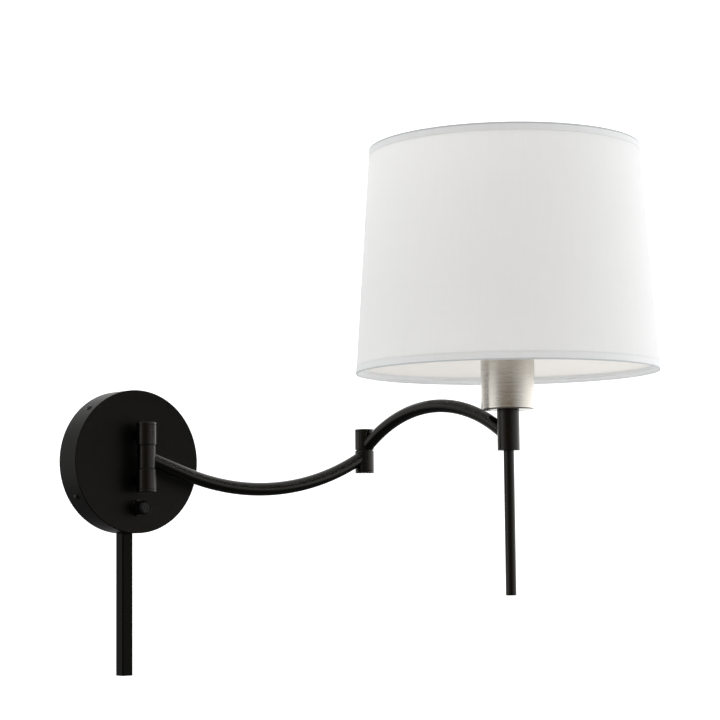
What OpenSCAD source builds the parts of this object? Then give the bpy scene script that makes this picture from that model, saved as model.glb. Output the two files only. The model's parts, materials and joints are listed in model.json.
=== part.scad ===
// Swing arm wall sconce. A round wall plate carries a hinge knuckle, a drooping inner arm and
// an arched outer arm meet at an elbow, and a stem holds a nickel cup, a lamp socket and a
// tapered drum shade, with a hand rod below.
// Origin: centre of the wall screws, on the wall. +Z is up and the room lies towards -Y.

/* [Wall plate] */
// Diameter of the round wall plate
plate_d = 133; // [112:1:170]
// Depth of the wall plate, from the wall to its face
plate_depth = 28.5; // [24:0.5:36]
// Sheet thickness of the wall plate
plate_steel = 1.2; // [0.8:0.1:1.5]
// Radius of the rounded front edge of the wall plate
plate_edge_r = 0.8; // [0.5:0.1:3]
// Thickness of the mounting plate that stays on the wall
mount_steel = 1.5; // [1.2:0.1:2.5]
// Distance between the two wall screws
wall_screw_gap = 88.9; // [70:0.1:90]
// Radius of each wall screw hole
wall_screw_r = 2.4; // [2:0.1:3]
// Distance of the rim screws from the wall
rim_screw_out = 15.5; // [10:0.5:16]
// Directions of the rim screws, counter-clockwise from the right
rim_screw_turns = [30, 132, 210, 312];

/* [Wall knuckle] */
// Distance of the knuckle axis from the wall
knuckle_out = 43.4; // [42:0.1:60]
// Diameter of the fixed knuckle barrels and of the elbow barrels
barrel_d = 18.6; // [18:0.1:22]
// Diameter of the turning barrel between the fixed ones
middle_d = 17.2; // [16.8:0.1:18]
// Height of the top of the knuckle
knuckle_top = 35.5; // [33:0.1:42]
// Height of the upper seam of the knuckle
knuckle_seam_hi = 14.3; // [13.5:0.1:16]
// Height of the lower seam of the knuckle
knuckle_seam_lo = -7.5; // [-10:0.1:-6]
// Height of the bottom of the knuckle
knuckle_bottom = -28.7; // [-34:0.1:-26]
// Diameter of the posts that hold the fixed barrels
post_d = 10; // [9:0.1:12]

/* [Arms] */
// Direction of the inner arm, counter-clockwise from the right, seen from above
inner_yaw = -4.1; // [-180:0.1:0]
// Distance from the knuckle axis to the elbow axis
inner_len = 244; // [180:1:320]
// Height of the inner arm's bend line at the knuckle axis
inner_z0 = 3.8; // [3:0.1:6]
// Height of the inner arm's bend line at the elbow axis
inner_z1 = 9.3; // [8:0.1:10]
// Length of the inner arm's straight end, from the knuckle axis
inner_lead = 41.6; // [30:0.1:60]
// Radius that the rest of the inner arm is bent to
inner_bend_r = 236.7; // [230:0.1:400]
// Turn of the outer arm from the inner arm, seen from above
elbow_bend = -85; // [-150:1:150]
// Distance from the elbow axis to the stem axis
outer_len = 207.3; // [170:0.1:280]
// Height of the outer arm's bend line at the elbow axis
outer_z0 = 14.6; // [13:0.1:15]
// Height of the outer arm's bend line at the stem axis
outer_z1 = 17.1; // [15:0.05:18]
// How far the outer arm arches above a straight line
outer_arch = 35.8; // [25:0.1:38]
// Outside diameter of the arm tubes
tube_d = 12.5; // [11:0.1:13]
// Wall of the arm tubes
tube_wall = 1.2; // [0.8:0.1:1.5]

/* [Elbow] */
// Height of the top of the elbow
elbow_top = 34.9; // [33:0.1:42]
// Height of the seam between the elbow barrels
elbow_seam = 14.1; // [13.5:0.1:15]
// Height of the bottom of the elbow
elbow_bottom = -8.5; // [-14:0.1:-7]
// Farthest turn of the elbow to either side of straight
elbow_limit = 150; // [120:1:150]

/* [Pivots] */
// Diameter of the hollow pivots
pivot_d = 8.5; // [8:0.1:8.8]
// Bore of the hollow pivots
pivot_bore = 6; // [5:0.1:6.2]
// Thickness of the caps on the barrels
cap_t = 2.4; // [1.6:0.1:3]
// Thickness of the friction washers
washer_t = 0.8; // [0.5:0.1:1.2]
// Diameter of the friction washers
washer_d = 16.2; // [15.6:0.1:16.6]
// Diameter of the stop pins
stop_pin_d = 1.8; // [1.5:0.1:2]
// Distance of a stop pin from its pivot axis
stop_pin_ring = 6.3; // [6.2:0.05:6.5]

/* [Stem and hand rod] */
// Diameter of the stem
stem_d = 20.4; // [19:0.1:24]
// Height of the bottom of the stem
stem_bottom = 5.05; // [-5:0.05:7]
// Height of the top of the stem, where the cup stands
stem_top = 42.2; // [40:0.1:50]
// Diameter of the hand rod
rod_d = 9.7; // [8:0.1:12]
// Height of the lower end of the hand rod
rod_end = -126.4; // [-180:0.1:-80]
// Wall of the hand rod
rod_wall = 1.2; // [0.8:0.1:2]

/* [Cup and socket] */
// Diameter of the metal cup
cup_d = 48.9; // [46:0.1:60]
// Height of the metal cup
cup_h = 56; // [50:0.5:57]
// Wall of the metal cup
cup_wall = 1; // [0.8:0.1:1.5]
// Outside diameter of the threaded nipple
nipple_d = 9.8; // [9:0.1:10]
// Bore of the threaded nipple
nipple_bore = 6.8; // [6:0.1:7]
// Height of the socket's foot above the floor of the cup
socket_lift = 8.6; // [7:0.1:12]
// Radius of the lamp socket's screw shell, inside
shell_r = 13.2; // [13:0.1:13.4]
// Length of the screw shell
shell_len = 32; // [25:1:32]

/* [Shade] */
// Diameter of the shade at its lower edge
shade_bottom_d = 278; // [240:1:360]
// Diameter of the shade at its upper edge
shade_top_d = 250; // [200:1:320]
// Height of the shade
shade_h = 206.8; // [150:0.1:280]
// Height of the shade's lower edge
shade_z = 76.3; // [72:0.1:84]
// Thickness of the shade's fabric with its folded edge
fabric_t = 0.8; // [0.4:0.1:1.2]
// Thickness of the shade's stiff liner
liner_t = 0.7; // [0.4:0.1:1.5]
// Diameter of the shade's wires
wire_d = 2.6; // [2:0.1:4]

/* [Switch] */
// Height of the switch axis
switch_z = -43.1; // [-44:0.1:-40.5]
// Diameter of the knob
knob_d = 13.2; // [12:0.1:16]
// Distance from the wall to the front of the knob
knob_front = 44; // [42:0.1:50]
// Diameter of the switch body
switch_d = 21; // [18:0.5:22]
// Distance from the wall to the back of the switch body
switch_back = 9; // [7:0.5:12]

/* [Cord cover] */
// Width and depth of the square cord cover
cover_w = 11.4; // [10:0.1:20]
// Wall of the cord cover
cover_wall = 1.1; // [0.8:0.1:1.6]
// Height of the lower end of the cord cover
cover_end = -197.8; // [-400:1:-120]

/* [Hidden] */

// Finishes
satin_black = [0.07, 0.07, 0.07];
soft_black = [0.12, 0.12, 0.12];
nickel = [0.72, 0.69, 0.64];
zinc = [0.68, 0.69, 0.70];
brass = [0.78, 0.62, 0.30];
linen = [0.95, 0.94, 0.92];

// Fits: radial gap of a turning pivot, radial gap of a seated piece, end gap of a turning barrel
run_fit = 0.05;
seat_fit = 0.03;
end_gap = 0.1;
// Cutters reach this far past what they cut
over = 1;
chamfer = 0.4;
round_fn = 72;

plate_r = plate_d / 2;
plate_inner_r = plate_r - plate_steel;
mount_r = plate_inner_r - 0.5;
tab_w = 14;
tab_len = rim_screw_out + 6;
rim_thread_r = 1.7;
rim_head_r = 2.7;
rim_head_h = 1.2;

barrel_r = barrel_d / 2;
middle_r = middle_d / 2;
pivot_r = pivot_d / 2;
bore_r = pivot_r + run_fit;
post_r = post_d / 2;
stud_r = 4;
nut_t = 5;
nut_r = 7.5;
wire_r = 1.5;
wire_hole_r = 2.2;
post_hi = (knuckle_top + knuckle_seam_hi) / 2;
post_lo = (knuckle_bottom + knuckle_seam_lo) / 2;

stop_r = stop_pin_d / 2;
groove_deep = 1.6;
pin_reach = 1.2;
// Half angle that a stop pin and its clearance take at its ring
pin_margin = asin((stop_r + 0.3) / stop_pin_ring);
// Half angle that the wires and their clearance take at a pivot's bore
wire_margin = asin((wire_r + 0.3) / (pivot_bore / 2));

tube_r = tube_d / 2;
tube_bore_r = tube_r - tube_wall;
middle_seat_r = middle_r - 1.2;
elbow_seat_r = barrel_r - 1.3;
stem_r = stem_d / 2;
stem_seat_r = stem_r - 1.3;

nut_well_r = 6.7;
elbow_nut_r = 6.4;
elbow_nut_t = 4;
elbow_floor = elbow_seam + washer_t / 2 + end_gap + 8.6;

rod_r = rod_d / 2;
rod_seat = 12;
plug_t = 1.6;
// The rod and the chamber above it leave room for the wires, which enter along the outer arm
rod_top = min(stem_bottom + rod_seat, outer_z1 + 0.6);
chamber_z0 = min(rod_top + 1.5, outer_z1 - 0.8);
chamber_z1 = stem_top - 11;
nipple_r = nipple_d / 2;

cup_r = cup_d / 2;
cup_floor_t = 1.2;
cup_floor = stem_top + cup_floor_t;
cup_top = stem_top + cup_h;
socket_z = cup_floor + socket_lift;
socket_cap_h = 12;
body_z = socket_z + socket_cap_h;
body_floor = 6;
body_bore_r = shell_r + 0.8;
body_r = body_bore_r + 3;
flange_z = body_z + 36.7;
flange_t = 2;
thread_r = body_r + 0.5;
body_top = flange_z + flange_t + 6.5;
fitter_z = flange_z + flange_t;
fitter_t = 1.2;
fitter_r = thread_r + 4.5;
shell_top = body_top - 2;

shade_r0 = shade_bottom_d / 2;
shade_r1 = shade_top_d / 2;
shade_top = shade_z + shade_h;
shade_taper = (shade_r0 - shade_r1) / shade_h;
wire_ring_r = wire_d / 2;
wire_inset = 3.2;
spoke_turns = [20, 140, 260];

switch_r = switch_d / 2;
bushing_r = 5;
shaft_r = 3;
switch_nut_t = 2.4;
bushing_end = plate_depth + switch_nut_t + 0.5;
knob_back = bushing_end + 0.5;
knob_r = knob_d / 2;

cover_half = cover_w / 2;
cover_bore = cover_half - cover_wall;
strip_t = 1;
inlet_out = cover_half;
inlet_r = 3.9;
inlet_bore_r = 2.9;

// Radius of the circle that bows a chord by a given rise
function bow_radius(chord, rise) = (chord * chord / 4 + rise * rise) / (2 * rise);
// Outside radius of the shade at a height
function shade_r_at(z) = shade_r0 - (z - shade_z) * shade_taper;
// Radius of a shade wire's centre line that lies against the liner at a height
function shade_wire_r(z) = shade_r_at(z) - fabric_t - liner_t
    - wire_ring_r * norm([1, shade_taper]) - 0.05;

// Frames: the plate frame has X right, Y up the wall and Z out from the wall
module on_wall() { rotate([90, 0, 0]) children(); }
module on_knuckle() { translate([0, -knuckle_out, 0]) children(); }
module on_inner_arm() { on_knuckle() rotate([0, 0, inner_yaw]) children(); }
module on_elbow() { on_inner_arm() translate([inner_len, 0, 0]) children(); }
module on_outer_arm() { on_elbow() rotate([0, 0, elbow_bend]) children(); }
module on_stem() { on_outer_arm() translate([outer_len, 0, 0]) children(); }

// A ring with a straight bore and chamfered outer edges, from z0 to z1
module ring(r, hole, z0, z1, edge = chamfer) {
    rotate_extrude($fn = round_fn)
        polygon([[hole, z0], [r - edge, z0], [r, z0 + edge], [r, z1 - edge], [r - edge, z1],
            [hole, z1]]);
}

// A solid disc with chamfered edges, from z0 to z1
module disc(r, z0, z1, edge = chamfer) {
    rotate_extrude($fn = round_fn)
        polygon([[0, z0], [r - edge, z0], [r, z0 + edge], [r, z1 - edge], [r - edge, z1],
            [0, z1]]);
}

module shaft(r, z0, z1, sides = round_fn) {
    translate([0, 0, z0]) cylinder(r = r, h = z1 - z0, $fn = sides);
}

// A flat profile carried along one arc in the XZ plane, from the origin to (run, lift)
module bow(run, lift, rise) {
    chord = norm([run, lift]);
    depth = abs(rise);
    side = sign(rise);
    big = bow_radius(chord, depth);
    half = asin(chord / 2 / big);
    rotate([0, -atan2(lift, run), 0])
        translate([chord / 2, 0, side * (depth - big)])
            rotate([90, 0, 0]) rotate([0, 0, side * 90 - half])
                rotate_extrude(angle = 2 * half, $fn = 144) translate([big, 0]) children();
}

// A flat profile carried straight along a lead, then along one arc that bends up, in the XZ
// plane, from the origin to (run, lift)
module led_bow(run, lift, lead, big) {
    reach = norm([run, lift]);
    turn = atan2(big, lead)
        + asin((reach * reach - lead * lead - 2 * big * big) / (2 * big * norm([lead, big])));
    start = atan2(lift, run) - atan2(big * (1 - cos(turn)), lead + big * sin(turn));
    rotate([0, -start, 0]) {
        rotate([0, 90, 0]) linear_extrude(lead) children();
        translate([lead, 0, big]) rotate([90, 0, 0]) rotate([0, 0, -90])
            rotate_extrude(angle = turn, $fn = 144) translate([big, 0]) children();
    }
}

module inner_bow() {
    translate([0, 0, inner_z0])
        led_bow(inner_len, inner_z1 - inner_z0, inner_lead, inner_bend_r) children();
}

module outer_bow() {
    translate([0, 0, outer_z0]) bow(outer_len, outer_z1 - outer_z0, outer_arch) children();
}

module tube_profile() {
    difference() {
        circle(r = tube_r, $fn = 48);
        circle(r = tube_bore_r, $fn = 48);
    }
}

// The seat that a barrel gives a tube's end, down to seat_r, and the wire hole behind it
module inner_seat(x, seat_r) {
    difference() {
        inner_bow() circle(r = tube_r + seat_fit, $fn = 48);
        translate([x, 0, 0]) shaft(seat_r, -50, 60);
    }
    inner_bow() circle(r = wire_hole_r, $fn = 32);
}

module outer_seat(x, seat_r) {
    difference() {
        outer_bow() circle(r = tube_r + seat_fit, $fn = 48);
        translate([x, 0, 0]) shaft(seat_r, -50, 90);
    }
    outer_bow() circle(r = wire_hole_r, $fn = 32);
}

// The arc groove that a stop pin runs in, with a floor at z0, from one angle to another
module stop_groove(from, to, z0, z1) {
    rotate([0, 0, from - pin_margin])
        rotate_extrude(angle = to - from + 2 * pin_margin, $fn = 96)
            translate([stop_pin_ring - stop_r - 0.25, z0])
                square([stop_pin_d + 0.5, z1 - z0]);
}

module stop_pin_at(turn, r, z0, z1) {
    rotate([0, 0, turn]) translate([stop_pin_ring, 0, 0]) shaft(r, z0, z1, 24);
}

module hex_nut(corner_r, hole, z0, z1) {
    difference() {
        shaft(corner_r, z0, z1, 6);
        shaft(hole, z0 - over, z1 + over, 48);
    }
}

// ---------------------------------------------------------------- wall plate
module rim_turns() {
    for (turn = rim_screw_turns)
        rotate([0, 0, turn]) translate([0, 0, rim_screw_out]) rotate([0, 90, 0]) children();
}

module mounting_plate() {
    color(zinc) on_wall() difference() {
        union() {
            shaft(mount_r, 0, mount_steel, 96);
            intersection() {
                shaft(mount_r, 0, tab_len, 96);
                for (turn = rim_screw_turns)
                    rotate([0, 0, turn]) translate([mount_r - 2, -tab_w / 2, 0])
                        cube([4, tab_w, tab_len]);
            }
        }
        for (side = [-1, 1])
            translate([side * wall_screw_gap / 2, 0, 0]) shaft(wall_screw_r, -over, 4, 32);
        shaft(14, -over, 4);
        translate([24, 0, 0]) shaft(1.95, -over, 4, 32);
        rim_turns() shaft(rim_thread_r + seat_fit, mount_r - 5, mount_r + 5, 32);
        translate([-8, -mount_r - over, -over]) cube([16, 8 + over, 4]);
    }
}

module ground_screw() {
    color([0.2, 0.5, 0.25]) on_wall() translate([24, 0, 0]) union() {
        shaft(1.9, 0.2, mount_steel + over, 32);
        difference() {
            shaft(4, mount_steel, mount_steel + 2.6, 6);
            translate([-5, -0.5, mount_steel + 1.6]) cube([10, 1, 2]);
        }
    }
}

module wall_plate() {
    color(satin_black) on_wall() difference() {
        rotate_extrude($fn = 144) difference() {
            union() {
                square([plate_r - plate_edge_r, plate_depth]);
                square([plate_r, plate_depth - plate_edge_r]);
                translate([plate_r - plate_edge_r, plate_depth - plate_edge_r])
                    circle(r = plate_edge_r, $fn = 48);
            }
            translate([0, -over]) square([plate_inner_r, plate_depth - plate_steel + over]);
        }
        for (z = [post_hi, post_lo])
            translate([0, z, 0]) shaft(stud_r + seat_fit, plate_depth - 4, plate_depth + over, 48);
        translate([0, switch_z, 0])
            shaft(bushing_r + seat_fit, plate_depth - 4, plate_depth + over, 48);
        rim_turns() shaft(rim_thread_r + 0.2, plate_r - 4, plate_r + over, 32);
        translate([0, 0, inlet_out]) rotate([90, 0, 0])
            shaft(inlet_r + seat_fit, plate_r - 6, plate_r + over, 48);
    }
}

module rim_screws() {
    color(soft_black) on_wall() rim_turns() difference() {
        union() {
            shaft(rim_thread_r, plate_r - 7, plate_r + 0.5, 32);
            disc(rim_head_r, plate_r, plate_r + rim_head_h, 0.5);
        }
        for (turn = [0, 90])
            rotate([0, 0, turn]) translate([-1.7, -0.35, plate_r + 0.5]) cube([3.4, 0.7, 2]);
    }
}

module knuckle_posts() {
    color(satin_black) on_wall() for (z = [post_hi, post_lo])
        translate([0, z, 0]) difference() {
            union() {
                shaft(post_r, plate_depth, knuckle_out, 48);
                shaft(stud_r, plate_depth - plate_steel - nut_t - 3, plate_depth + over, 48);
            }
            shaft(wire_hole_r, 0, knuckle_out + over, 32);
            translate([0, -20, knuckle_out]) rotate([-90, 0, 0])
                cylinder(r = barrel_r, h = 40, $fn = round_fn);
        }
}

module post_nuts() {
    color(zinc) on_wall() for (z = [post_hi, post_lo])
        translate([0, z, 0]) hex_nut(nut_r, stud_r + seat_fit,
            plate_depth - plate_steel - nut_t, plate_depth - plate_steel);
}

// -------------------------------------------------------------- wall knuckle
// A fixed barrel, with the wire hole from its post
module fixed_barrel(z0, z1, post_z) {
    difference() {
        ring(barrel_r, bore_r, z0, z1);
        translate([0, 0, post_z]) rotate([-90, 0, 0]) shaft(wire_hole_r, 0, barrel_r + 2, 32);
    }
}

module upper_barrel() {
    color(satin_black) on_knuckle() difference() {
        fixed_barrel(knuckle_seam_hi + washer_t / 2, knuckle_top - cap_t, post_hi);
        stop_pin_at(90, stop_r + seat_fit, knuckle_seam_hi - over, knuckle_seam_hi + 4);
    }
}

module lower_barrel() {
    color(satin_black) on_knuckle()
        fixed_barrel(knuckle_bottom + cap_t, knuckle_seam_lo - washer_t / 2, post_lo);
}

// The window lets the wires swing with the arm, and the wires enter behind each post
module knuckle_pivot() {
    color(zinc) on_knuckle() difference() {
        ring(pivot_r, pivot_bore / 2, knuckle_bottom + cap_t, knuckle_top - cap_t, 0.2);
        translate([0, 0, inner_z0 - 5.5]) rotate([0, 0, -180 - wire_margin])
            rotate_extrude(angle = 180 + 2 * wire_margin, $fn = 96) square([pivot_r + over, 8]);
        for (z = [post_hi, post_lo])
            translate([0, 0, z]) rotate([-90, 0, 0]) shaft(wire_hole_r, 0, 8, 32);
    }
}

module knuckle_caps() {
    spigot_r = pivot_bore / 2 - seat_fit;
    color(satin_black) on_knuckle() union() {
        disc(barrel_r, knuckle_top - cap_t, knuckle_top);
        shaft(spigot_r, knuckle_top - cap_t - 3, knuckle_top - cap_t + 0.5, 32);
        disc(barrel_r, knuckle_bottom, knuckle_bottom + cap_t);
        shaft(spigot_r, knuckle_bottom + cap_t - 0.5, knuckle_bottom + cap_t + 3, 32);
    }
}

module knuckle_washers() {
    color(soft_black) on_knuckle() difference() {
        for (z = [knuckle_seam_hi, knuckle_seam_lo])
            ring(washer_d / 2, pivot_r + seat_fit, z - washer_t / 2, z + washer_t / 2, 0.1);
        stop_pin_at(90, stop_r + seat_fit, knuckle_seam_hi - 3, knuckle_seam_hi + 3);
    }
}

module knuckle_stop_pin() {
    color(zinc) on_knuckle() stop_pin_at(90, stop_r,
        knuckle_seam_hi - washer_t / 2 - end_gap - pin_reach, knuckle_seam_hi + 4);
}

// -------------------------------------------------------------------- switch
module switch_body() {
    inside = plate_depth - plate_steel;
    color([0.75, 0.72, 0.66]) on_wall() translate([0, switch_z, 0]) difference() {
        union() {
            ring(switch_r, 0, switch_back, inside, 0.8);
            shaft(bushing_r, inside - over, bushing_end, 48);
        }
        shaft(shaft_r + run_fit, switch_back + 3, bushing_end + over, 48);
        for (side = [-1, 1])
            translate([side * 6, 0, 0]) shaft(wire_r + seat_fit, switch_back - over,
                switch_back + 5, 24);
    }
}

module switch_nut() {
    color(soft_black) on_wall() translate([0, switch_z, 0]) difference() {
        disc(bushing_r + 2.6, plate_depth, plate_depth + switch_nut_t);
        shaft(bushing_r + seat_fit, plate_depth - over, plate_depth + switch_nut_t + over, 48);
        for (turn = [0 : 60 : 300])
            rotate([0, 0, turn]) translate([bushing_r + 2.9, 0, 0])
                shaft(0.9, plate_depth - over, plate_depth + switch_nut_t + over, 24);
    }
}

module knob() {
    flutes = 20;
    color(soft_black) on_wall() translate([0, switch_z, 0]) difference() {
        disc(knob_r, knob_back, knob_front, 1.3);
        shaft(shaft_r + seat_fit, knob_back - over, knob_front - 2.5, 48);
        for (i = [0 : flutes - 1])
            rotate([0, 0, i * 360 / flutes]) translate([knob_r + 0.15, 0, 0])
                shaft(0.6, knob_back - over, knob_front - 2, 16);
        difference() {
            shaft(knob_r - 1.8, knob_front - 0.4, knob_front + over, 48);
            shaft(knob_r - 2.3, knob_front - over, knob_front + over, 48);
        }
    }
}

module switch_shaft() {
    color(zinc) on_wall() translate([0, switch_z, 0])
        shaft(shaft_r, switch_back + 3.5, knob_front - 2.6, 48);
}

// -------------------------------------------------------- wiring in the plate
// The twist-on connectors stand side by side; each opens down the wall or up it
connector_x = [-22, -36, -50];
connector_up = [false, false, true];
connector_len = 20;
connector_z = 4;
lead_out = 13;

module wire_connectors() {
    color([0.85, 0.55, 0.2]) on_wall() for (i = [0 : len(connector_x) - 1])
        translate([connector_x[i], connector_z, lead_out])
            rotate([connector_up[i] ? 90 : -90, 0, 0]) difference() {
                translate([0, 0, -connector_len / 2])
                    cylinder(r1 = 5.8, r2 = 3.8, h = connector_len, $fn = 48);
                shaft(3.9, -connector_len / 2 - over, connector_len / 2 - 5, 32);
            }
}

// One lead bowed from a point to another, in a plane parallel to the wall
module lead(from, to, rise) {
    run = to - from;
    translate([from[0], from[1], lead_out]) rotate([0, 0, atan2(run[1], run[0])])
        rotate([-90, 0, 0]) bow(norm(run), 0, rise) circle(r = wire_r, $fn = 24);
}

module canopy_leads() {
    mouth = connector_z - connector_len / 2 + 8;
    color([0.9, 0.9, 0.88]) on_wall() union() {
        lead([-15, switch_z + 4], [connector_x[0], mouth], 5);
        lead([-4, 7 - plate_inner_r], [connector_x[1], mouth], 13);
        lead([connector_x[2] - 1, 2 * connector_z - mouth], [-2, post_hi + 3], 14.5);
    }
}

module inlet_bushing() {
    color([0.15, 0.15, 0.15]) on_wall() translate([0, 0, inlet_out]) rotate([90, 0, 0])
        difference() {
            union() {
                shaft(inlet_r, plate_inner_r - 2.5, plate_r + 1.2, 48);
                shaft(inlet_r + 0.8, plate_inner_r - 2.5, plate_inner_r - 0.6, 48);
            }
            shaft(inlet_bore_r, plate_inner_r - 5, plate_r + 3, 48);
        }
}

// The cover is a square channel, and its upper end is cut to the plate's rim
module cord_cover() {
    color(satin_black) on_wall() difference() {
        translate([-cover_half, cover_end, 0]) cube([cover_w, -cover_end, cover_w]);
        translate([-cover_bore, cover_end - over, -over])
            cube([2 * cover_bore, -cover_end + 2 * over, cover_w - cover_wall + over]);
        shaft(plate_r + 0.1, -over, cover_w + over, 144);
    }
}

module cord_cover_strip() {
    half = cover_bore - 0.15;
    color(soft_black) on_wall() difference() {
        translate([-half, cover_end + 0.5, 0]) cube([2 * half, -cover_end - 0.5, strip_t]);
        shaft(plate_r + 0.1, -over, cover_w + over, 144);
    }
}

// ----------------------------------------------------------------- inner arm
module middle_barrel() {
    top = knuckle_seam_hi - washer_t / 2 - end_gap;
    color(satin_black) on_inner_arm() difference() {
        ring(middle_r, bore_r, knuckle_seam_lo + washer_t / 2 + end_gap, top);
        inner_seat(0, middle_seat_r);
        stop_groove(90, 270, top - groove_deep, top + over);
    }
}

module inner_arm_tube() {
    color(satin_black) on_inner_arm() difference() {
        inner_bow() tube_profile();
        shaft(middle_seat_r, -50, 60);
        translate([inner_len, 0, 0]) shaft(elbow_seat_r, -50, 60);
    }
}

module elbow_lower_barrel() {
    color(satin_black) on_inner_arm() difference() {
        translate([inner_len, 0, 0]) ring(barrel_r, pivot_r + seat_fit,
            elbow_bottom + cap_t, elbow_seam - washer_t / 2);
        inner_seat(inner_len, elbow_seat_r);
        translate([inner_len, 0, 0])
            stop_pin_at(180, stop_r + seat_fit, elbow_seam - 4, elbow_seam + over);
    }
}

module elbow_pivot() {
    color(zinc) on_inner_arm() difference() {
        translate([inner_len, 0, 0]) ring(pivot_r, pivot_bore / 2, elbow_bottom + cap_t,
            elbow_floor + end_gap + elbow_nut_t + 0.6, 0.2);
        inner_bow() circle(r = wire_hole_r, $fn = 32);
    }
}

module elbow_nut() {
    color(zinc) on_elbow() hex_nut(elbow_nut_r, pivot_r + seat_fit, elbow_floor + end_gap,
        elbow_floor + end_gap + elbow_nut_t);
}

module elbow_washer() {
    color(soft_black) on_elbow() difference() {
        ring(washer_d / 2, pivot_r + seat_fit, elbow_seam - washer_t / 2,
            elbow_seam + washer_t / 2, 0.1);
        stop_pin_at(180, stop_r + seat_fit, elbow_seam - 3, elbow_seam + 3);
    }
}

module elbow_bottom_cap() {
    color(satin_black) on_elbow() union() {
        disc(barrel_r, elbow_bottom, elbow_bottom + cap_t);
        shaft(pivot_bore / 2 - seat_fit, elbow_bottom + cap_t - 0.5, elbow_bottom + cap_t + 3, 32);
    }
}

module elbow_stop_pin() {
    color(zinc) on_elbow() stop_pin_at(180, stop_r, elbow_seam - 4,
        elbow_seam + washer_t / 2 + end_gap + pin_reach);
}

// The wires lie in the tube, then rise through the elbow's pivot
module inner_arm_wire() {
    color([0.9, 0.9, 0.88]) on_inner_arm() union() {
        inner_bow() circle(r = wire_r, $fn = 24);
        translate([inner_len, 0, 0]) shaft(wire_r, inner_z1 - 0.5, elbow_floor, 24);
        shaft(wire_r, inner_z0 - 0.5, post_hi, 24);
    }
}

// ----------------------------------------------------------------- outer arm
module elbow_upper_barrel() {
    z0 = elbow_seam + washer_t / 2 + end_gap;
    color(satin_black) on_outer_arm() difference() {
        ring(barrel_r, bore_r, z0, elbow_top - cap_t);
        shaft(nut_well_r, elbow_floor, elbow_top + over, 64);
        outer_seat(0, elbow_seat_r);
        stop_groove(180 - elbow_limit, 180 + elbow_limit, z0 - over, z0 + groove_deep);
    }
}

module elbow_top_cap() {
    color(satin_black) on_outer_arm() union() {
        disc(barrel_r, elbow_top - cap_t, elbow_top);
        shaft(nut_well_r - seat_fit, elbow_top - cap_t - 1.6, elbow_top - cap_t + 0.5, 64);
    }
}

// The tube's lip at the elbow is trimmed level, so that it passes over the lower barrel
module outer_arm_tube() {
    color(satin_black) on_outer_arm() difference() {
        outer_bow() tube_profile();
        shaft(elbow_seat_r, -50, 90);
        shaft(barrel_r + 0.6, -50, elbow_seam + washer_t / 2 + 0.3);
        translate([outer_len, 0, 0]) shaft(stem_seat_r, -50, 90);
    }
}

module stem() {
    color(satin_black) on_outer_arm() difference() {
        translate([outer_len, 0, 0]) difference() {
            disc(stem_r, stem_bottom, stem_top);
            shaft(rod_r + seat_fit, stem_bottom - over, rod_top, 48);
            shaft(7.2, chamber_z0, chamber_z1, 64);
            shaft(nipple_r + seat_fit, chamber_z1 - over, stem_top + over, 48);
        }
        outer_seat(outer_len, stem_seat_r);
    }
}

module hand_rod() {
    color(satin_black) on_stem()
        ring(rod_r, rod_r - rod_wall, rod_end + plug_t, rod_top, 0.2);
}

module rod_plug() {
    color(satin_black) on_stem() union() {
        disc(rod_r, rod_end, rod_end + plug_t, 0.5);
        shaft(rod_r - rod_wall - seat_fit, rod_end + plug_t - 0.5, rod_end + plug_t + 6, 48);
    }
}

// ------------------------------------------------------------ cup and socket
module cup() {
    edge = 1.2;
    color(nickel) on_stem() rotate_extrude($fn = 96) difference() {
        union() {
            translate([0, stem_top]) square([cup_r - edge, cup_h]);
            translate([0, stem_top + edge]) square([cup_r, cup_h - edge]);
            translate([cup_r - edge, stem_top + edge]) circle(r = edge, $fn = 48);
        }
        translate([0, cup_floor]) square([cup_r - cup_wall, cup_h]);
        translate([0, stem_top - over]) square([nipple_r + seat_fit, cup_h]);
    }
}

module stem_nipple() {
    color(zinc) on_stem()
        ring(nipple_r, nipple_bore / 2, chamber_z1 + 0.2, socket_z + 4, 0.3);
}

module cup_locknut() {
    color(zinc) on_stem() hex_nut(9, nipple_r + seat_fit, cup_floor, cup_floor + 3);
}

module socket_cap() {
    color(zinc) on_stem() difference() {
        ring(body_r - 1.5, nipple_r + seat_fit, socket_z, body_z);
        shaft(body_r - 3, socket_z + 1.5, body_z + over, 64);
    }
}

module socket_body() {
    color(soft_black) on_stem() difference() {
        union() {
            ring(body_r, 0, body_z, flange_z + 0.5);
            disc(thread_r + 2.5, flange_z, flange_z + flange_t);
            disc(thread_r, flange_z, body_top);
        }
        shaft(body_bore_r, body_z + body_floor, body_top + over, 64);
        for (side = [-1, 1])
            translate([side * 5, 0, 0]) shaft(wire_r + 0.2, body_z - over, body_top, 24);
    }
}

module screw_shell() {
    outer = body_bore_r - seat_fit;
    color(brass) on_stem() difference() {
        shaft(outer, shell_top - shell_len, shell_top, 64);
        shaft(shell_r, shell_top - shell_len + 0.8, shell_top + over, 64);
        shaft(9, shell_top - shell_len - over, shell_top, 48);
    }
}

module centre_contact() {
    z0 = body_z + body_floor;
    color(brass) on_stem() union() {
        translate([-2.6, -2.2, z0]) cube([5.2, 4.4, 0.8]);
        shaft(1.6, z0 + 0.4, z0 + 2.4, 32);
        translate([0, 0, z0 + 2.2]) shaft(2.4, 0, 0.8, 32);
    }
}

module shade_ring() {
    z0 = fitter_z + fitter_t;
    color(soft_black) on_stem() difference() {
        disc(thread_r + 4, z0, z0 + 4.2, 0.6);
        shaft(thread_r + seat_fit, z0 - over, z0 + 6, 64);
        for (turn = [0 : 30 : 330])
            rotate([0, 0, turn]) translate([thread_r + 4.6, 0, 0])
                shaft(1.2, z0 - over, z0 + 6, 24);
    }
}

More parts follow.
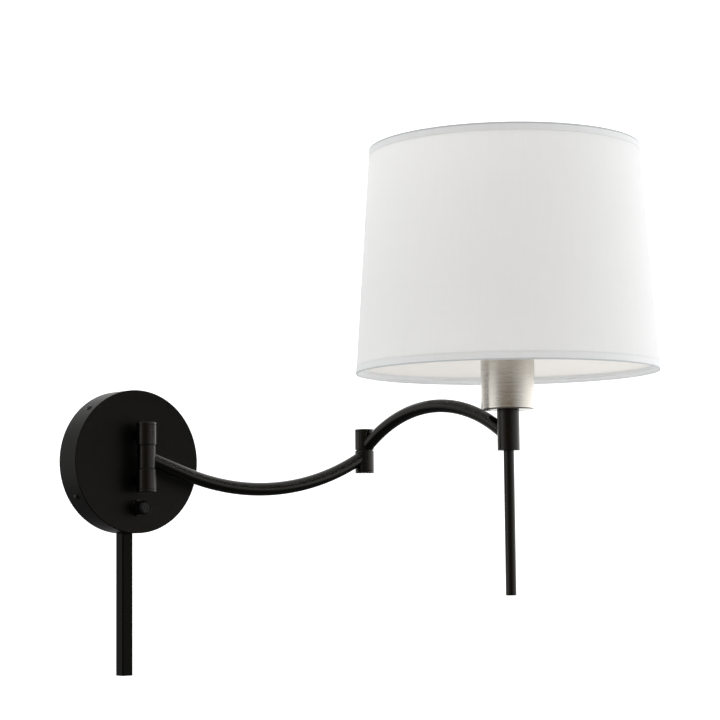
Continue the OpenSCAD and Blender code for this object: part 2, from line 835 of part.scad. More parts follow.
// --------------------------------------------------------------------- shade
module wire_hoop(z) {
    rotate_extrude($fn = 120) translate([shade_wire_r(z), z])
        circle(r = wire_ring_r, $fn = 24);
}

// A flat ring round the socket and three spokes, whose ends are welded to the lower hoop
module shade_fitter() {
    hoop_z = shade_z + wire_inset;
    hub_z = fitter_z + fitter_t / 2;
    reach = shade_wire_r(hoop_z) - fitter_r + 0.5;
    drop = hub_z - hoop_z;
    color(zinc) on_stem() union() {
        difference() {
            shaft(fitter_r, fitter_z, fitter_z + fitter_t);
            shaft(thread_r + seat_fit, fitter_z - over, fitter_z + fitter_t + over, 64);
        }
        difference() {
            for (turn = spoke_turns)
                rotate([0, 0, turn]) translate([fitter_r - 1, 0, hub_z])
                    rotate([0, 90 + atan2(drop, reach), 0])
                        cylinder(r = wire_ring_r, h = norm([reach, drop]), $fn = 24);
            wire_hoop(hoop_z);
        }
    }
}

module shade_bottom_wire() {
    color(zinc) on_stem() wire_hoop(shade_z + wire_inset);
}

module shade_top_wire() {
    color(zinc) on_stem() wire_hoop(shade_top - wire_inset);
}

// A tapered wall between two depths inside the shade's outer face
module shade_wall(outer, inner) {
    rotate_extrude($fn = 144) polygon([[shade_r0 - inner, shade_z], [shade_r0 - outer, shade_z],
        [shade_r1 - outer, shade_top], [shade_r1 - inner, shade_top]]);
}

module shade_liner() {
    color([0.97, 0.96, 0.94]) on_stem() shade_wall(fabric_t, fabric_t + liner_t);
}

module shade_fabric() {
    color(linen) on_stem() shade_wall(0, fabric_t);
}

// The wires lie in the tube, then rise through the stem and the nipple to the socket
module outer_arm_wire() {
    color([0.9, 0.9, 0.88]) on_outer_arm() difference() {
        union() {
            outer_bow() circle(r = wire_r, $fn = 24);
            translate([outer_len, 0, 0]) shaft(wire_r, outer_z1 - 0.5, body_z - 3, 24);
        }
        shaft(elbow_seat_r - 1, -50, 90);
    }
}

mounting_plate();
ground_screw();
wall_plate();
rim_screws();
knuckle_posts();
post_nuts();
upper_barrel();
lower_barrel();
knuckle_pivot();
knuckle_caps();
knuckle_washers();
knuckle_stop_pin();
switch_body();
switch_nut();
wire_connectors();
canopy_leads();
inlet_bushing();
cord_cover();
cord_cover_strip();
knob();
switch_shaft();
middle_barrel();
inner_arm_tube();
elbow_lower_barrel();
elbow_pivot();
elbow_nut();
elbow_washer();
elbow_bottom_cap();
elbow_stop_pin();
inner_arm_wire();
elbow_upper_barrel();
elbow_top_cap();
outer_arm_tube();
stem();
hand_rod();
rod_plug();
cup();
stem_nipple();
cup_locknut();
socket_cap();
socket_body();
screw_shell();
centre_contact();
shade_ring();
shade_fitter();
shade_bottom_wire();
shade_top_wire();
shade_liner();
shade_fabric();
outer_arm_wire();
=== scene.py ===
"""Swing arm wall sconce: its pieces in their real finishes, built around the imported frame."""
import json
import math

import bmesh
import bpy
import numpy as np
from mathutils import Matrix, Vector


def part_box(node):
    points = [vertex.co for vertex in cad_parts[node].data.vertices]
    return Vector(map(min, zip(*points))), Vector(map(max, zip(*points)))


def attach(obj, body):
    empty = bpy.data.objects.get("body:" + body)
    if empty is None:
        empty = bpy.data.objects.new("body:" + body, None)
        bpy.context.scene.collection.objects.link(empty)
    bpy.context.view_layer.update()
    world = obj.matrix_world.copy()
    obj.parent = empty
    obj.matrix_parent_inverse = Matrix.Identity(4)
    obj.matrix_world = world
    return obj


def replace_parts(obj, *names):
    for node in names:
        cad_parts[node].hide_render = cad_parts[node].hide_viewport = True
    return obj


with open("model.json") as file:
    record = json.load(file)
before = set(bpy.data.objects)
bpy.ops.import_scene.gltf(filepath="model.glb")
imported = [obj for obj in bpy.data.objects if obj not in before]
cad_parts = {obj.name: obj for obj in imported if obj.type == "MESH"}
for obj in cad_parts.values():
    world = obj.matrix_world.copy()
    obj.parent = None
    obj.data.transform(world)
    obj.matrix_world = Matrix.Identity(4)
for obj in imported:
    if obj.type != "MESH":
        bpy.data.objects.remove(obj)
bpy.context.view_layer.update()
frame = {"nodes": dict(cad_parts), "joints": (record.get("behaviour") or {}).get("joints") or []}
mm = 0.001

# ---------------------------------------------------------------------------- camera
# A long portrait lens stands two metres out from the wall, left of the lamp and a little below
# it. It looks along the wall and slightly up, with the lamp off the middle of its view.
camera_distance = 1.9529
camera_azimuth = math.radians(-38.39)
camera_tilt = math.radians(5.237)
camera_roll = math.radians(0.593)
aim_right = -0.11564
aim_down = 0.049756

lens = bpy.data.cameras.new("portrait_lens")
lens.lens = 103.18
lens.sensor_width = 36
lens.clip_end = 50
level = math.cos(camera_tilt)
ahead = np.array([-math.sin(camera_azimuth) * level, math.cos(camera_azimuth) * level,
                  math.sin(camera_tilt)])
right = np.array([math.cos(camera_azimuth), math.sin(camera_azimuth), 0.0])
up = np.cross(right, ahead)
rolled_right = math.cos(camera_roll) * right - math.sin(camera_roll) * up
rolled_up = math.sin(camera_roll) * right + math.cos(camera_roll) * up
to_origin = ahead + aim_right * rolled_right - aim_down * rolled_up
camera_at = -camera_distance * to_origin / np.linalg.norm(to_origin)
camera = bpy.data.objects.new("camera", lens)
turned_axes = Matrix([rolled_right, rolled_up, -ahead]).transposed().to_4x4()
camera.matrix_world = Matrix.Translation(camera_at) @ turned_axes
bpy.context.scene.collection.objects.link(camera)
bpy.context.scene.camera = camera
bpy.context.scene.view_settings.view_transform = "Standard"


# ---------------------------------------------------------------------------- studio
# White paper stands behind the lamp and a large soft box at each side. Only the gap that the
# camera looks through, and a narrower one at the back left, are dim. Below the lamp the walls go
# dark. The camera sees plain white, and the pale paper floor lights the shade unmirrored.
class Wire:
    """The output of a shader node; arithmetic on it adds Math nodes."""

    def __init__(self, graph, socket):
        self.graph = graph
        self.socket = socket

    def math(self, operation, *others):
        return self.graph.add("Math", {"operation": operation}, self, *others)

    def __add__(self, other):
        return self.math("ADD", other)

    __radd__ = __add__

    def __mul__(self, other):
        return self.math("MULTIPLY", other)

    __rmul__ = __mul__

    def __sub__(self, other):
        return self.math("SUBTRACT", other)

    def __rsub__(self, other):
        return self.graph.add("Math", {"operation": "SUBTRACT"}, other, self)

    def __truediv__(self, other):
        return self.math("DIVIDE", other)


class Graph:
    """The shader nodes of one material, or of the studio."""

    def __init__(self, owner):
        self.owner = owner
        owner.use_nodes = True
        self.tree = owner.node_tree
        self.tree.nodes.clear()

    def add(self, kind, settings=None, *values, out=None, **named):
        """Adds a node: first its settings, then its sockets in their order or by their names."""
        node = self.tree.nodes.new("ShaderNode" + kind)
        for name, value in (settings or {}).items():
            if name == "stops":
                self.set_ramp(node.color_ramp.elements, value)
            else:
                setattr(node, name, value)
        sockets = [socket for socket in node.inputs if socket.enabled]
        by_name = {socket.name: socket for socket in reversed(sockets)}
        pairs = list(zip(sockets, values))
        pairs += [(by_name[name.replace("_", " ")], value) for name, value in named.items()]
        for socket, value in pairs:
            if isinstance(value, Wire):
                self.tree.links.new(value.socket, socket)
            elif isinstance(value, tuple) and socket.type == "RGBA":
                socket.default_value = (*value, 1.0)
            else:
                socket.default_value = value
        made = [socket for socket in node.outputs if socket.enabled]
        if not made:
            return None
        return Wire(self, node.outputs[out] if out else made[0])

    def blend(self, share, first, second):
        """Mixes two colours: the first where the share is 0 and the second where it is 1."""
        return self.add("Mix", {"data_type": "RGBA"}, share, first, second)

    def place(self):
        """A point's place in the object."""
        return self.add("TexCoord", out="Object")

    def edge(self):
        """1 on the rounded edges of a piece and 0 elsewhere."""
        return self.add("Attribute", {"attribute_name": "edge"}, out="Fac")

    def relief(self, strength, depth, height):
        """Fine relief, its depth in millimetres."""
        return self.add("Bump", None, Strength=strength, Distance=depth * mm, Height=height)

    def noise(self, place, scale, detail):
        """Soft noise over a place."""
        return self.add("TexNoise", None, place, Scale=scale, Detail=detail)

    def finish(self, surface):
        """Gives a material its surface and hands the material back."""
        self.add("OutputMaterial", None, surface)
        return self.owner

    def set_ramp(self, elements, stops):
        """Gives a colour ramp its stops, each a position and a grey level or a colour."""
        while len(elements) < len(stops):
            elements.new(0.5)
        for element, (position, tone) in zip(elements, stops):
            element.position = position
            element.color = (*tone, 1.0) if isinstance(tone, tuple) else (tone, tone, tone, 1.0)


# Brightness round the horizon, by the angle in degrees to the right of the way to the camera
horizon = ((-180, 1.0), (-150, 1.0), (-138, 0.8), (-120, 0.4), (-104, 0.62), (-86, 1.25),
           (-66, 1.1), (-52, 0.68), (-40, 0.36), (-28, (0.22, 0.19, 0.15)),
           (0, (0.17, 0.14, 0.1)), (14, (0.21, 0.175, 0.13)), (30, 0.38), (50, 0.72), (68, 1.12),
           (95, 1.5), (133, 1.65), (155, 1.2), (180, 1.0))
horizon_glow = 1.46
overhead = 1.2
underfoot = 0.1

world = bpy.data.worlds.new("studio")
bpy.context.scene.world = world
studio = Graph(world)
direction = studio.add("TexCoord", out="Generated")
dot = {"operation": "DOT_PRODUCT"}
sideways = studio.add("VectorMath", dot, direction, tuple(right), out="Value")
towards = studio.add("VectorMath", dot, direction, (right[1], -right[0], 0.0), out="Value")
angle = sideways.math("ARCTAN2", towards)
round_stops = [((turn + 180) / 360, tone) for turn, tone in horizon]
around = studio.add("ValToRGB", {"stops": round_stops}, angle / (2 * math.pi) + 0.5)
height = studio.add("SeparateXYZ", None, direction, out="Z")
smooth = {"interpolation_type": "SMOOTHSTEP"}
rising = studio.add("MapRange", smooth, height, 0.5, 0.9, 0.0, 1.0)
falling = studio.add("MapRange", smooth, height, -0.45, -0.11, 1.0, 0.0)
to_camera = studio.add("LightPath", out="Is Camera Ray")
walls = studio.blend(rising, around, (overhead / horizon_glow,) * 3)
shell = studio.blend(falling, walls, (underfoot / horizon_glow,) * 3)
seen = studio.blend(to_camera, shell, (1.0, 1.0, 1.0))
glow = studio.add("Background", None, Color=seen, Strength=horizon_glow)
studio.add("OutputWorld", None, glow)

floor_height = -0.62
floor_radius = 3.0


def circle(count):
    """Evenly spaced directions round a circle."""
    return np.linspace(0, 2 * np.pi, count, endpoint=False)


def cells(rows, columns, wrap_rows, wrap_columns, start=0):
    """The four corners of each cell of a grid of points, as indices from start."""
    index = start + np.arange(rows * columns).reshape(rows, columns)
    if wrap_rows:
        index = np.vstack([index, index[:1]])
    if wrap_columns:
        index = np.hstack([index, index[:, :1]])
    corners = [index[:-1, :-1], index[1:, :-1], index[1:, 1:], index[:-1, 1:]]
    return np.stack(corners, -1).reshape(-1, 4)


def build(name, sheets, material, uv=None, sharp=38, weighted=True):
    """Makes one object of several grids of points, with closed poles and outward faces.

    A sheet is (grid, wrap_rows, wrap_columns). A grid's points hold x, y, z and edge, which is
    1 on a rounded edge. uv holds one more row and column than its single grid.
    """
    points, faces, start = [], [], 0
    for grid, wrap_rows, wrap_columns in sheets:
        rows, columns = grid.shape[:2]
        faces.append(cells(rows, columns, wrap_rows, wrap_columns, start))
        points.append(grid.reshape(-1, 4))
        start += rows * columns
    points = np.concatenate(points)
    mesh = bpy.data.meshes.new(name)
    mesh.from_pydata(points[:, :3].tolist(), [], np.concatenate(faces).tolist())
    edge = mesh.attributes.new("edge", "FLOAT", "POINT")
    edge.data.foreach_set("value", points[:, 3].astype(np.float32))
    if uv is not None:
        corners = [uv[:-1, :-1], uv[1:, :-1], uv[1:, 1:], uv[:-1, 1:]]
        layer = mesh.uv_layers.new(name="cloth")
        layer.data.foreach_set("uv", np.stack(corners, 2).astype(np.float32).ravel())
    shape = bmesh.new()
    shape.from_mesh(mesh)
    bmesh.ops.remove_doubles(shape, verts=shape.verts, dist=1e-6)
    bmesh.ops.recalc_face_normals(shape, faces=shape.faces)
    shape.to_mesh(mesh)
    shape.free()
    mesh.shade_smooth()
    mesh.set_sharp_from_angle(angle=math.radians(sharp))
    mesh.materials.append(material)
    made = bpy.data.objects.new(name, mesh)
    bpy.context.scene.collection.objects.link(made)
    if weighted:
        made.modifiers.new("even_faces", "WEIGHTED_NORMAL").keep_sharp = True
    return made


def matt_paint(name, colour, roughness):
    """A plain matt finish with faint clouds in its colour."""
    paint = Graph(bpy.data.materials.new(name))
    place = paint.place()
    cloud = paint.noise(place, 9.0, 4.0)
    darker = tuple(0.97 * tone for tone in colour)
    tone = paint.blend(cloud, darker, colour)
    skin = paint.add("BsdfPrincipled", None, Base_Color=tone, Roughness=roughness)
    return paint.finish(skin)


ring_radius = np.array([0.0, 0.5 * floor_radius, floor_radius])
ring_turn = circle(96)[:, None]
floor_grid = np.stack(np.broadcast_arrays(ring_radius * np.cos(ring_turn),
                                          ring_radius * np.sin(ring_turn),
                                          floor_height, 0.0), -1)
floor = build("paper_floor", [(floor_grid, True, False)],
              matt_paint("pale_paper", (0.82, 0.82, 0.81), 0.9), weighted=False)
floor.visible_glossy = False


# ------------------------------------------------------------------------- wall plate
# The round cover is pressed from sheet steel and powder coated satin black. It hides the zinc
# plated mounting plate, which stays on the wall, and the wires between the two.
def powder_coat(name, shine, roughness, depth=1.0):
    """Satin black powder: a fine pebbled skin, cloudy in gloss, and lighter on its edges, partly
    from wear and partly as a painted edge highlight.
    """
    deep, pale = (0.0009, 0.00088, 0.0008), (0.0016, 0.00155, 0.0014)
    coat = Graph(bpy.data.materials.new(name))
    place = coat.place()
    pebbles = coat.noise(place, 1500.0, 2.0)
    cloud = coat.noise(place, 38.0, 3.0)
    edge = coat.edge()
    # Rounded edges are lightened in colour: partly worn coat, partly a painted edge highlight.
    edge_wear_and_highlight = edge * cloud
    black = coat.blend(cloud, tuple(depth * tone for tone in deep),
                       tuple(depth * tone for tone in pale))
    wear_and_highlight_tone = coat.blend(edge_wear_and_highlight, black, (0.006, 0.0057, 0.0052))
    relief = coat.relief(0.1, 0.05, pebbles)
    gloss = cloud * 0.08 + (roughness - 0.04) - edge_wear_and_highlight * 0.06
    skin = coat.add("BsdfPrincipled", None, Base_Color=wear_and_highlight_tone, Roughness=gloss,
                    Specular_IOR_Level=shine, Specular_Tint=(1.0, 0.95, 0.86), Normal=relief)
    return coat.finish(skin)


def plated(name, colour, dull, roughness, grain=(900.0, 900.0, 900.0)):
    """Plated or bare metal: drawn grain in the gloss, and dull clouds in the colour."""
    metal = Graph(bpy.data.materials.new(name))
    place = metal.place()
    stretched = metal.add("Mapping", None, place, Scale=grain)
    lines = metal.noise(stretched, 1.0, 3.0)
    cloud = metal.noise(place, 110.0, 4.0)
    tone = metal.blend(cloud, dull, colour)
    relief = metal.relief(0.2, 0.03, lines)
    gloss = lines * 0.16 + (roughness - 0.08)
    skin = metal.add("BsdfPrincipled", None, Base_Color=tone, Metallic=1.0, Roughness=gloss,
                     Normal=relief)
    return metal.finish(skin)


def dress(material, *nodes):
    """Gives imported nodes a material."""
    for node in nodes:
        for place in frame["nodes"][node].material_slots:
            place.material = material


plate_coat = powder_coat("plate_powder_coat", 0.09, 0.42)
frame_coat = powder_coat("frame_powder_coat", 0.26, 0.27, 0.4)
cover_coat = powder_coat("cord_cover_powder_coat", 0.05, 0.36, 0.4)
zinc = plated("zinc_plate", (0.66, 0.67, 0.66), (0.5, 0.51, 0.5), 0.34)
dress(plate_coat, "wall_plate")
dress(zinc, "mounting_plate")
dress(plated("green_ground_screw", (0.06, 0.3, 0.1), (0.03, 0.2, 0.07), 0.4), "ground_screw")

# ------------------------------------------------------------------------- rim screws
# Four pan head screws of black zinc hold the cover's rim to the tabs of the mounting plate. Each
# head is a low dome with a cross recess, and each shank has a rolled thread.
rim_turns = (30, 132, 210, 312)
rim_out = 15.5 * mm
head_radius = 2.7 * mm
head_height = 1.2 * mm
shank_radius = 1.7 * mm
shank_length = 6.5 * mm
plate_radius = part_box("wall_plate")[1].z


def revolve(outline, sides=96):
    """Carries (radius, height, edge) points round Z: x = r cos a, y = r sin a, z = height."""
    radius, height, edge = np.asarray(outline, float).T
    turn = circle(sides)[:, None]
    return np.stack(np.broadcast_arrays(radius * np.cos(turn), radius * np.sin(turn),
                                        height, edge), -1).copy()


def profile(radius, height):
    """Outline points away from any rounded edge, from radii and heights; either may be one."""
    return np.stack(np.broadcast_arrays(radius, height, 0.0), -1)


def stand(grid, origin, along, side):
    """Turns a grid so that its Z lies along one direction and its X along another, then moves it."""
    along, side = np.asarray(along, float), np.asarray(side, float)
    axes = np.stack([side, np.cross(along, side), along])
    placed = grid.copy()
    placed[..., :3] = grid[..., :3] @ axes + np.asarray(origin, float)
    return placed


def upright(grid, at):
    """Moves a grid from the origin to an upright axis."""
    return stand(grid, (*at, 0.0), (0, 0, 1), (1, 0, 0))


def turned(outline, at, ring=True, sides=96):
    """A sheet turned round an upright axis; only a ring's outline closes on itself."""
    return upright(revolve(outline, sides), at), True, ring


def cut_thread(grid, columns, pitch, depth):
    """Adds a rolled thread: the radius swells by a cosine of height over pitch less the turn."""
    part = grid[:, columns]
    turn = circle(grid.shape[0])[:, None]
    run = np.linspace(0, 1, part.shape[1])
    fade = np.clip(np.minimum(run, 1 - run) * 8, 0, 1)
    swell = depth * fade * (0.5 + 0.5 * np.cos(2 * np.pi * part[..., 2] / pitch - turn))
    radius = np.maximum(np.hypot(part[..., 0], part[..., 1]), 1e-9)
    part[..., :2] *= ((radius + swell) / radius)[..., None]
    return grid


def pan_screw():
    """A screw that points down Z, with its head's rim at 0: dome, cross recess and thread."""
    dome_points, shank_points = 15, 44
    pitch, thread = 0.7 * mm, 0.25 * mm
    dome = np.linspace(0, 1, dome_points)
    cap = profile(head_radius * dome, head_height * (1 - 0.62 * dome ** 2.6))
    body = profile(shank_radius - thread, np.linspace(0, -shank_length, shank_points))
    under = np.array([[head_radius, 0.0, 1.0]])
    tip = np.array([[0.0, -shank_length - 0.6 * mm, 0.0]])
    grid = revolve(np.concatenate([cap, under, body, tip]), 48)
    first = dome_points + 1
    cut_thread(grid, slice(first, first + shank_points), pitch, thread)
    top = grid[:, :dome_points]
    across = np.abs(top[..., :2])
    slot_half, slot_reach, slot_deep = 0.36 * mm, 1.65 * mm, 0.75 * mm
    beside = np.clip((slot_half + 0.1 * mm - across.min(-1)) / (0.2 * mm), 0, 1)
    within = np.clip((slot_reach + 0.1 * mm - across.max(-1)) / (0.2 * mm), 0, 1)
    top[..., 2] -= slot_deep * beside * within
    return grid


black_zinc = powder_coat("black_zinc", 0.22, 0.24, 0.3)
screws = []
for turn_deg in rim_turns:
    turn = math.radians(turn_deg)
    outward = np.array([math.cos(turn), 0.0, math.sin(turn)])
    origin = outward * plate_radius + [0.0, -rim_out, 0.0]
    screws.append((stand(pan_screw(), origin, outward, (0.0, -1.0, 0.0)), True, False))
rim_screws = build("pan_head_screws", screws, black_zinc, sharp=50, weighted=False)
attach(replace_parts(rim_screws, "rim_screws"), "wall_bracket")


# ------------------------------------------------------------------ knuckle on the wall
# Two turned steel barrels stand off the plate on hollow posts. The turning barrel of the inner arm
# runs between them on a pivot, and thin caps close the ends. All edges are broken before coating.
barrel_edge = 0.35 * mm


def soften(corners, steps=4):
    """Rounds the corners of a closed outline of (radius, height, corner radius) points.

    A corner becomes the arc that touches both of its sides. Each point comes back with its edge
    value, 1 on an arc and 0 on the flats, which keep a point close to the arc.
    """
    spots = np.array([corner[:2] for corner in corners], float)
    outline = []
    for i, here in enumerate(spots):
        size = corners[i][2] if len(corners[i]) > 2 else 0.0
        if not size:
            outline.append((*here, 0.0))
            continue
        back = spots[i - 1] - here
        front = spots[(i + 1) % len(spots)] - here
        back, front = back / np.linalg.norm(back), front / np.linalg.norm(front)
        half = 0.5 * math.acos(float(np.clip(back @ front, -1, 1)))
        reach = size / math.tan(half)
        middle = (back + front) / np.linalg.norm(back + front) * size / math.sin(half)
        start, end = back * reach - middle, front * reach - middle
        bend = math.pi - 2 * half
        outline.append((*(here + back * (reach + 0.5 * size)), 0.0))
        for share in np.linspace(0, 1, steps + 1):
            arm = (start * math.sin((1 - share) * bend) + end * math.sin(share * bend))
            outline.append((*(here + middle + arm / math.sin(bend)), 1.0))
        outline.append((*(here + front * (reach + 0.5 * size)), 0.0))
    return np.array(outline)


def barrel(node, bore, edge=barrel_edge, sides=96):
    """A round piece of a node's own height and diameter, bored through, with broken edges."""
    low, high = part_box(node)
    radius = 0.5 * (high.x - low.x)
    outline = soften([(bore, low.z), (radius, low.z, edge), (radius, high.z, edge),
                      (bore, high.z)])
    centre = (0.5 * (low.x + high.x), 0.5 * (low.y + high.y))
    return turned(outline, centre, sides=sides)


def disc_at(centre, radius, low, high, edge, sides=96):
    """A flat round disc with broken edges, closed at its middle."""
    outline = soften([(radius, low, edge), (radius, high, edge), (0.0, high), (0.0, low)])
    return turned(np.roll(outline, 1, axis=0), centre, False, sides)


pivot_bore = 4.3 * mm
cap_t = 2.4 * mm
cap_edge = 0.5 * mm
for node, name in (("upper_barrel", "knuckle_barrel_upper"),
                   ("lower_barrel", "knuckle_barrel_lower")):
    piece = build(name, [barrel(node, pivot_bore)], frame_coat)
    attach(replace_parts(piece, node), "wall_bracket")

low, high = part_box("knuckle_caps")
knuckle_at = (0.5 * (low.x + high.x), 0.5 * (low.y + high.y))
knuckle_radius = 0.5 * (high.x - low.x)
caps = build("knuckle_end_caps",
             [disc_at(knuckle_at, knuckle_radius, high.z - cap_t, high.z, cap_edge),
              disc_at(knuckle_at, knuckle_radius, low.z, low.z + cap_t, cap_edge)], frame_coat)
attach(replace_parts(caps, "knuckle_caps"), "wall_bracket")

dress(frame_coat, "knuckle_posts")
dress(zinc, "post_nuts", "knuckle_pivot", "knuckle_stop_pin")


# ----------------------------------------------------------------------- switch and knob
# A rotary switch sits behind the plate, held by a slim black ring nut in front. Its turn knob is
# moulded, with flutes round the side and a ribbed disc inside a raised rim on its face.
def moulded(name, colour, roughness, grain=1100.0, grain_depth=0.04):
    """Moulded plastic or rubber: a fine spark-eroded grain, slightly uneven gloss, and a painted
    highlight on its rounded edges.
    """
    resin = Graph(bpy.data.materials.new(name))
    place = resin.place()
    specks = resin.noise(place, grain, 3.0)
    cloud = resin.noise(place, 60.0, 2.0)
    edge = resin.edge()
    shade = tuple(0.82 * tone for tone in colour)
    tone = resin.blend(cloud, shade, colour)
    # Rounded edges are lightened in colour: a painted edge highlight.
    edge_highlit_tone = resin.blend(edge * 0.35, tone,
                           tuple(min(1.0, 1.5 * tone + 0.004) for tone in colour))
    relief = resin.relief(0.3, grain_depth, specks)
    gloss = cloud * 0.1 + (roughness - 0.05) - edge * 0.06
    skin = resin.add("BsdfPrincipled", None, Base_Color=edge_highlit_tone, Roughness=gloss,
                     Specular_IOR_Level=0.25, Normal=relief)
    return resin.finish(skin)


black_resin = moulded("black_moulding", (0.0022, 0.0022, 0.0021), 0.42)
low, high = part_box("knob")
knob_at = (0.5 * (low.x + high.x), high.y, 0.5 * (low.z + high.z))
knob_radius = 0.5 * (high.z - low.z)
knob_length = high.y - low.y
flute_count = 20
flute_deep = 0.45 * mm
face_radius = 4.4 * mm
rib_pitch = 1.7 * mm
knob_chamfer = 1.3 * mm

knob_sides = 160
face_points = 19
knob_side = profile(knob_radius,
                    np.linspace(0.6 * mm, knob_length - knob_chamfer - 0.5 * mm, 14))
crown = soften([(0.0, 0.0), (knob_radius, 0.0),
                (knob_radius, knob_length - knob_chamfer, 0.3 * mm),
                (knob_radius - knob_chamfer, knob_length, 0.3 * mm),
                (face_radius + 0.8 * mm, knob_length, 0.25 * mm),
                (face_radius + 0.3 * mm, knob_length - 0.7 * mm)])[2:]
face = profile(np.linspace(face_radius, 0, face_points), knob_length - 0.55 * mm)
back = np.array([[3.1 * mm, 1.5 * mm, 0], [3.1 * mm, 0, 0], [knob_radius - 0.4 * mm, 0, 1]])
knob_outline = np.concatenate([[[0, 1.5 * mm, 0]], back, knob_side, crown, face])
knob_grid = revolve(knob_outline, knob_sides)
knob_turn = circle(knob_sides)[:, None]
rim_share = np.clip((np.hypot(knob_grid[..., 0], knob_grid[..., 1]) / knob_radius - 0.8) * 5, 0, 1)
front_fade = np.clip((knob_length - knob_grid[..., 2]) / (1.3 * mm), 0, 1)
flute = (0.5 + 0.5 * np.cos(flute_count * knob_turn)) ** 1.6
knob_grid[..., :2] *= (1 - flute_deep / knob_radius * flute * rim_share * front_fade)[..., None]
on_face = knob_grid[:, -face_points:]
slant = (on_face[..., 0] * 0.97 + on_face[..., 1] * 0.24) / rib_pitch
inside = np.clip((face_radius - np.hypot(on_face[..., 0], on_face[..., 1])) / (0.4 * mm), 0, 1)
on_face[..., 2] += 0.18 * mm * np.cos(2 * np.pi * slant) * inside
knob = build("fluted_knob", [(stand(knob_grid, knob_at, (0, -1, 0), (1, 0, 0)), True, False)],
             black_resin, sharp=45, weighted=False)
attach(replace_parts(knob, "knob"), "knob")

dress(black_zinc, "switch_nut")
dress(zinc, "switch_shaft")
dress(moulded("switch_moulding", (0.7, 0.66, 0.58), 0.45), "switch_body")

# ------------------------------------------------------------------ wires and connectors
# Twist-on connectors join the leads behind the plate. White leads run to the switch and up the
# posts, and a rubber bushing lines the hole in the rim where the supply cord would come in.
lead_skin = moulded("lead_insulation", (0.8, 0.79, 0.76), 0.5, 500.0, 0.02)
dress(lead_skin, "canopy_leads", "inner_arm_wire", "outer_arm_wire")
dress(moulded("connector_moulding", (0.8, 0.3, 0.04), 0.4, 800.0), "wire_connectors")
dress(moulded("bushing_rubber", (0.012, 0.012, 0.012), 0.6, 900.0, 0.05), "inlet_bushing")


# --------------------------------------------------------------------------- cord cover
# A square channel of folded steel hides the supply cord below the plate. Its corners are bent to
# a small radius, its upper end is cut to the round rim, and it snaps over a strip on the wall.
cover_wall = 1.1 * mm
cover_bend = 1.3 * mm
low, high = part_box("cord_cover")
cover_half = 0.5 * (high.x - low.x)
cover_depth = high.y - low.y
cover_end = low.z


def channel_path(half, depth, radius, steps=6):
    """Half a box section from the wall, out round two bent corners and back to the wall."""
    bend_turn = np.linspace(0, np.pi / 2, steps + 1)
    first = np.stack([-half + radius - radius * np.cos(bend_turn),
                      depth - radius + radius * np.sin(bend_turn)], -1)
    second = first[::-1] * [-1, 1]
    middle = np.linspace(first[-1], second[0], 7)[1:-1]
    return np.concatenate([[[-half, 0.0]], first, middle, second, [[half, 0.0]]])


outer_path = channel_path(cover_half, cover_depth, cover_bend)
inner_path = channel_path(cover_half - cover_wall, cover_depth - cover_wall,
                          cover_bend - cover_wall + 0.3 * mm)
share = np.linspace(0, 1, 12)


def channel_wall(path, share):
    """A path run down the wall, from the plate's rim to the end: z falls with the share."""
    x, out = path[:, :1], path[:, 1:]
    top = -np.sqrt((plate_radius + 0.1 * mm) ** 2 - x ** 2)
    z = top + (cover_end - top) * share
    return np.stack(np.broadcast_arrays(x, -out, z, 0.0), -1)


loop = np.concatenate([channel_wall(outer_path, share),
                       channel_wall(inner_path, share)[:, ::-1]], 1)
wall_edges = [np.stack([channel_wall(outer_path[[end]], share)[0],
                        channel_wall(inner_path[[end]], share)[0]]) for end in (0, -1)]
cover = build("folded_cord_cover",
              [(loop, False, True)] + [(edge, False, False) for edge in wall_edges],
              cover_coat, sharp=50)
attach(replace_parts(cover, "cord_cover"), "wall_bracket")
dress(black_resin, "cord_cover_strip")


# ---------------------------------------------------------------------------- inner arm
# The inner arm is half inch steel tube with a straight end and then one drooping arc. It is coped
# to a turning barrel at the wall and to the lower barrel of the elbow, and brazed to both.
class Bow:
    """A straight lead and then an arc, in an arm's upright plane, from (0, z0) to (run, z1).

    The arc bends up where way is 1 and down where it is -1.
    """

    def __init__(self, origin, yaw, run, z0, z1, radius, lead, way):
        self.origin, self.yaw, self.run, self.z0 = origin, yaw, run, z0
        self.radius, self.lead, self.way = radius, lead, way
        hinge = math.hypot(lead, radius)
        gap = run ** 2 + (z1 - z0) ** 2 - lead ** 2 - 2 * radius ** 2
        bend = math.atan2(radius, lead) + math.asin(gap / (2 * radius * hinge))
        self.length = lead + radius * bend
        swing = math.atan2(radius * (1 - math.cos(bend)), lead + radius * math.sin(bend))
        self.start = math.atan2(z1 - z0, run) - way * swing

    def at(self, along, out, side):
        """The arm's own x, y, z of a point: along its line, out from the bend and sideways."""
        turn = np.maximum(along - self.lead, 0.0) / self.radius
        ahead = np.minimum(along, self.lead) + (self.radius + out) * np.sin(turn)
        rise = self.way * (self.radius - (self.radius + out) * np.cos(turn))
        c, s = math.cos(self.start), math.sin(self.start)
        return ahead * c - rise * s, side, self.z0 + ahead * s + rise * c

    def meets(self, tube_r, turn, barrel_r, far):
        """How far along each line of the tube runs into a barrel at its near or far end."""
        out, side = tube_r * np.cos(turn), tube_r * np.sin(turn)
        reach = np.sqrt(barrel_r ** 2 - side ** 2)
        target = self.run - reach if far else reach
        along = np.full_like(turn, self.length - barrel_r if far else barrel_r)
        for _ in range(12):
            along = along + target - self.at(along, out, side)[0]
        return along

    def placed(self, x, y, z, edge=0.0):
        """Points of the arm's own frame, turned and moved to the wall's frame."""
        c, s = math.cos(self.yaw), math.sin(self.yaw)
        return np.stack(np.broadcast_arrays(self.origin[0] + c * x - s * y,
                                            self.origin[1] + s * x + c * y, z, edge), -1).copy()


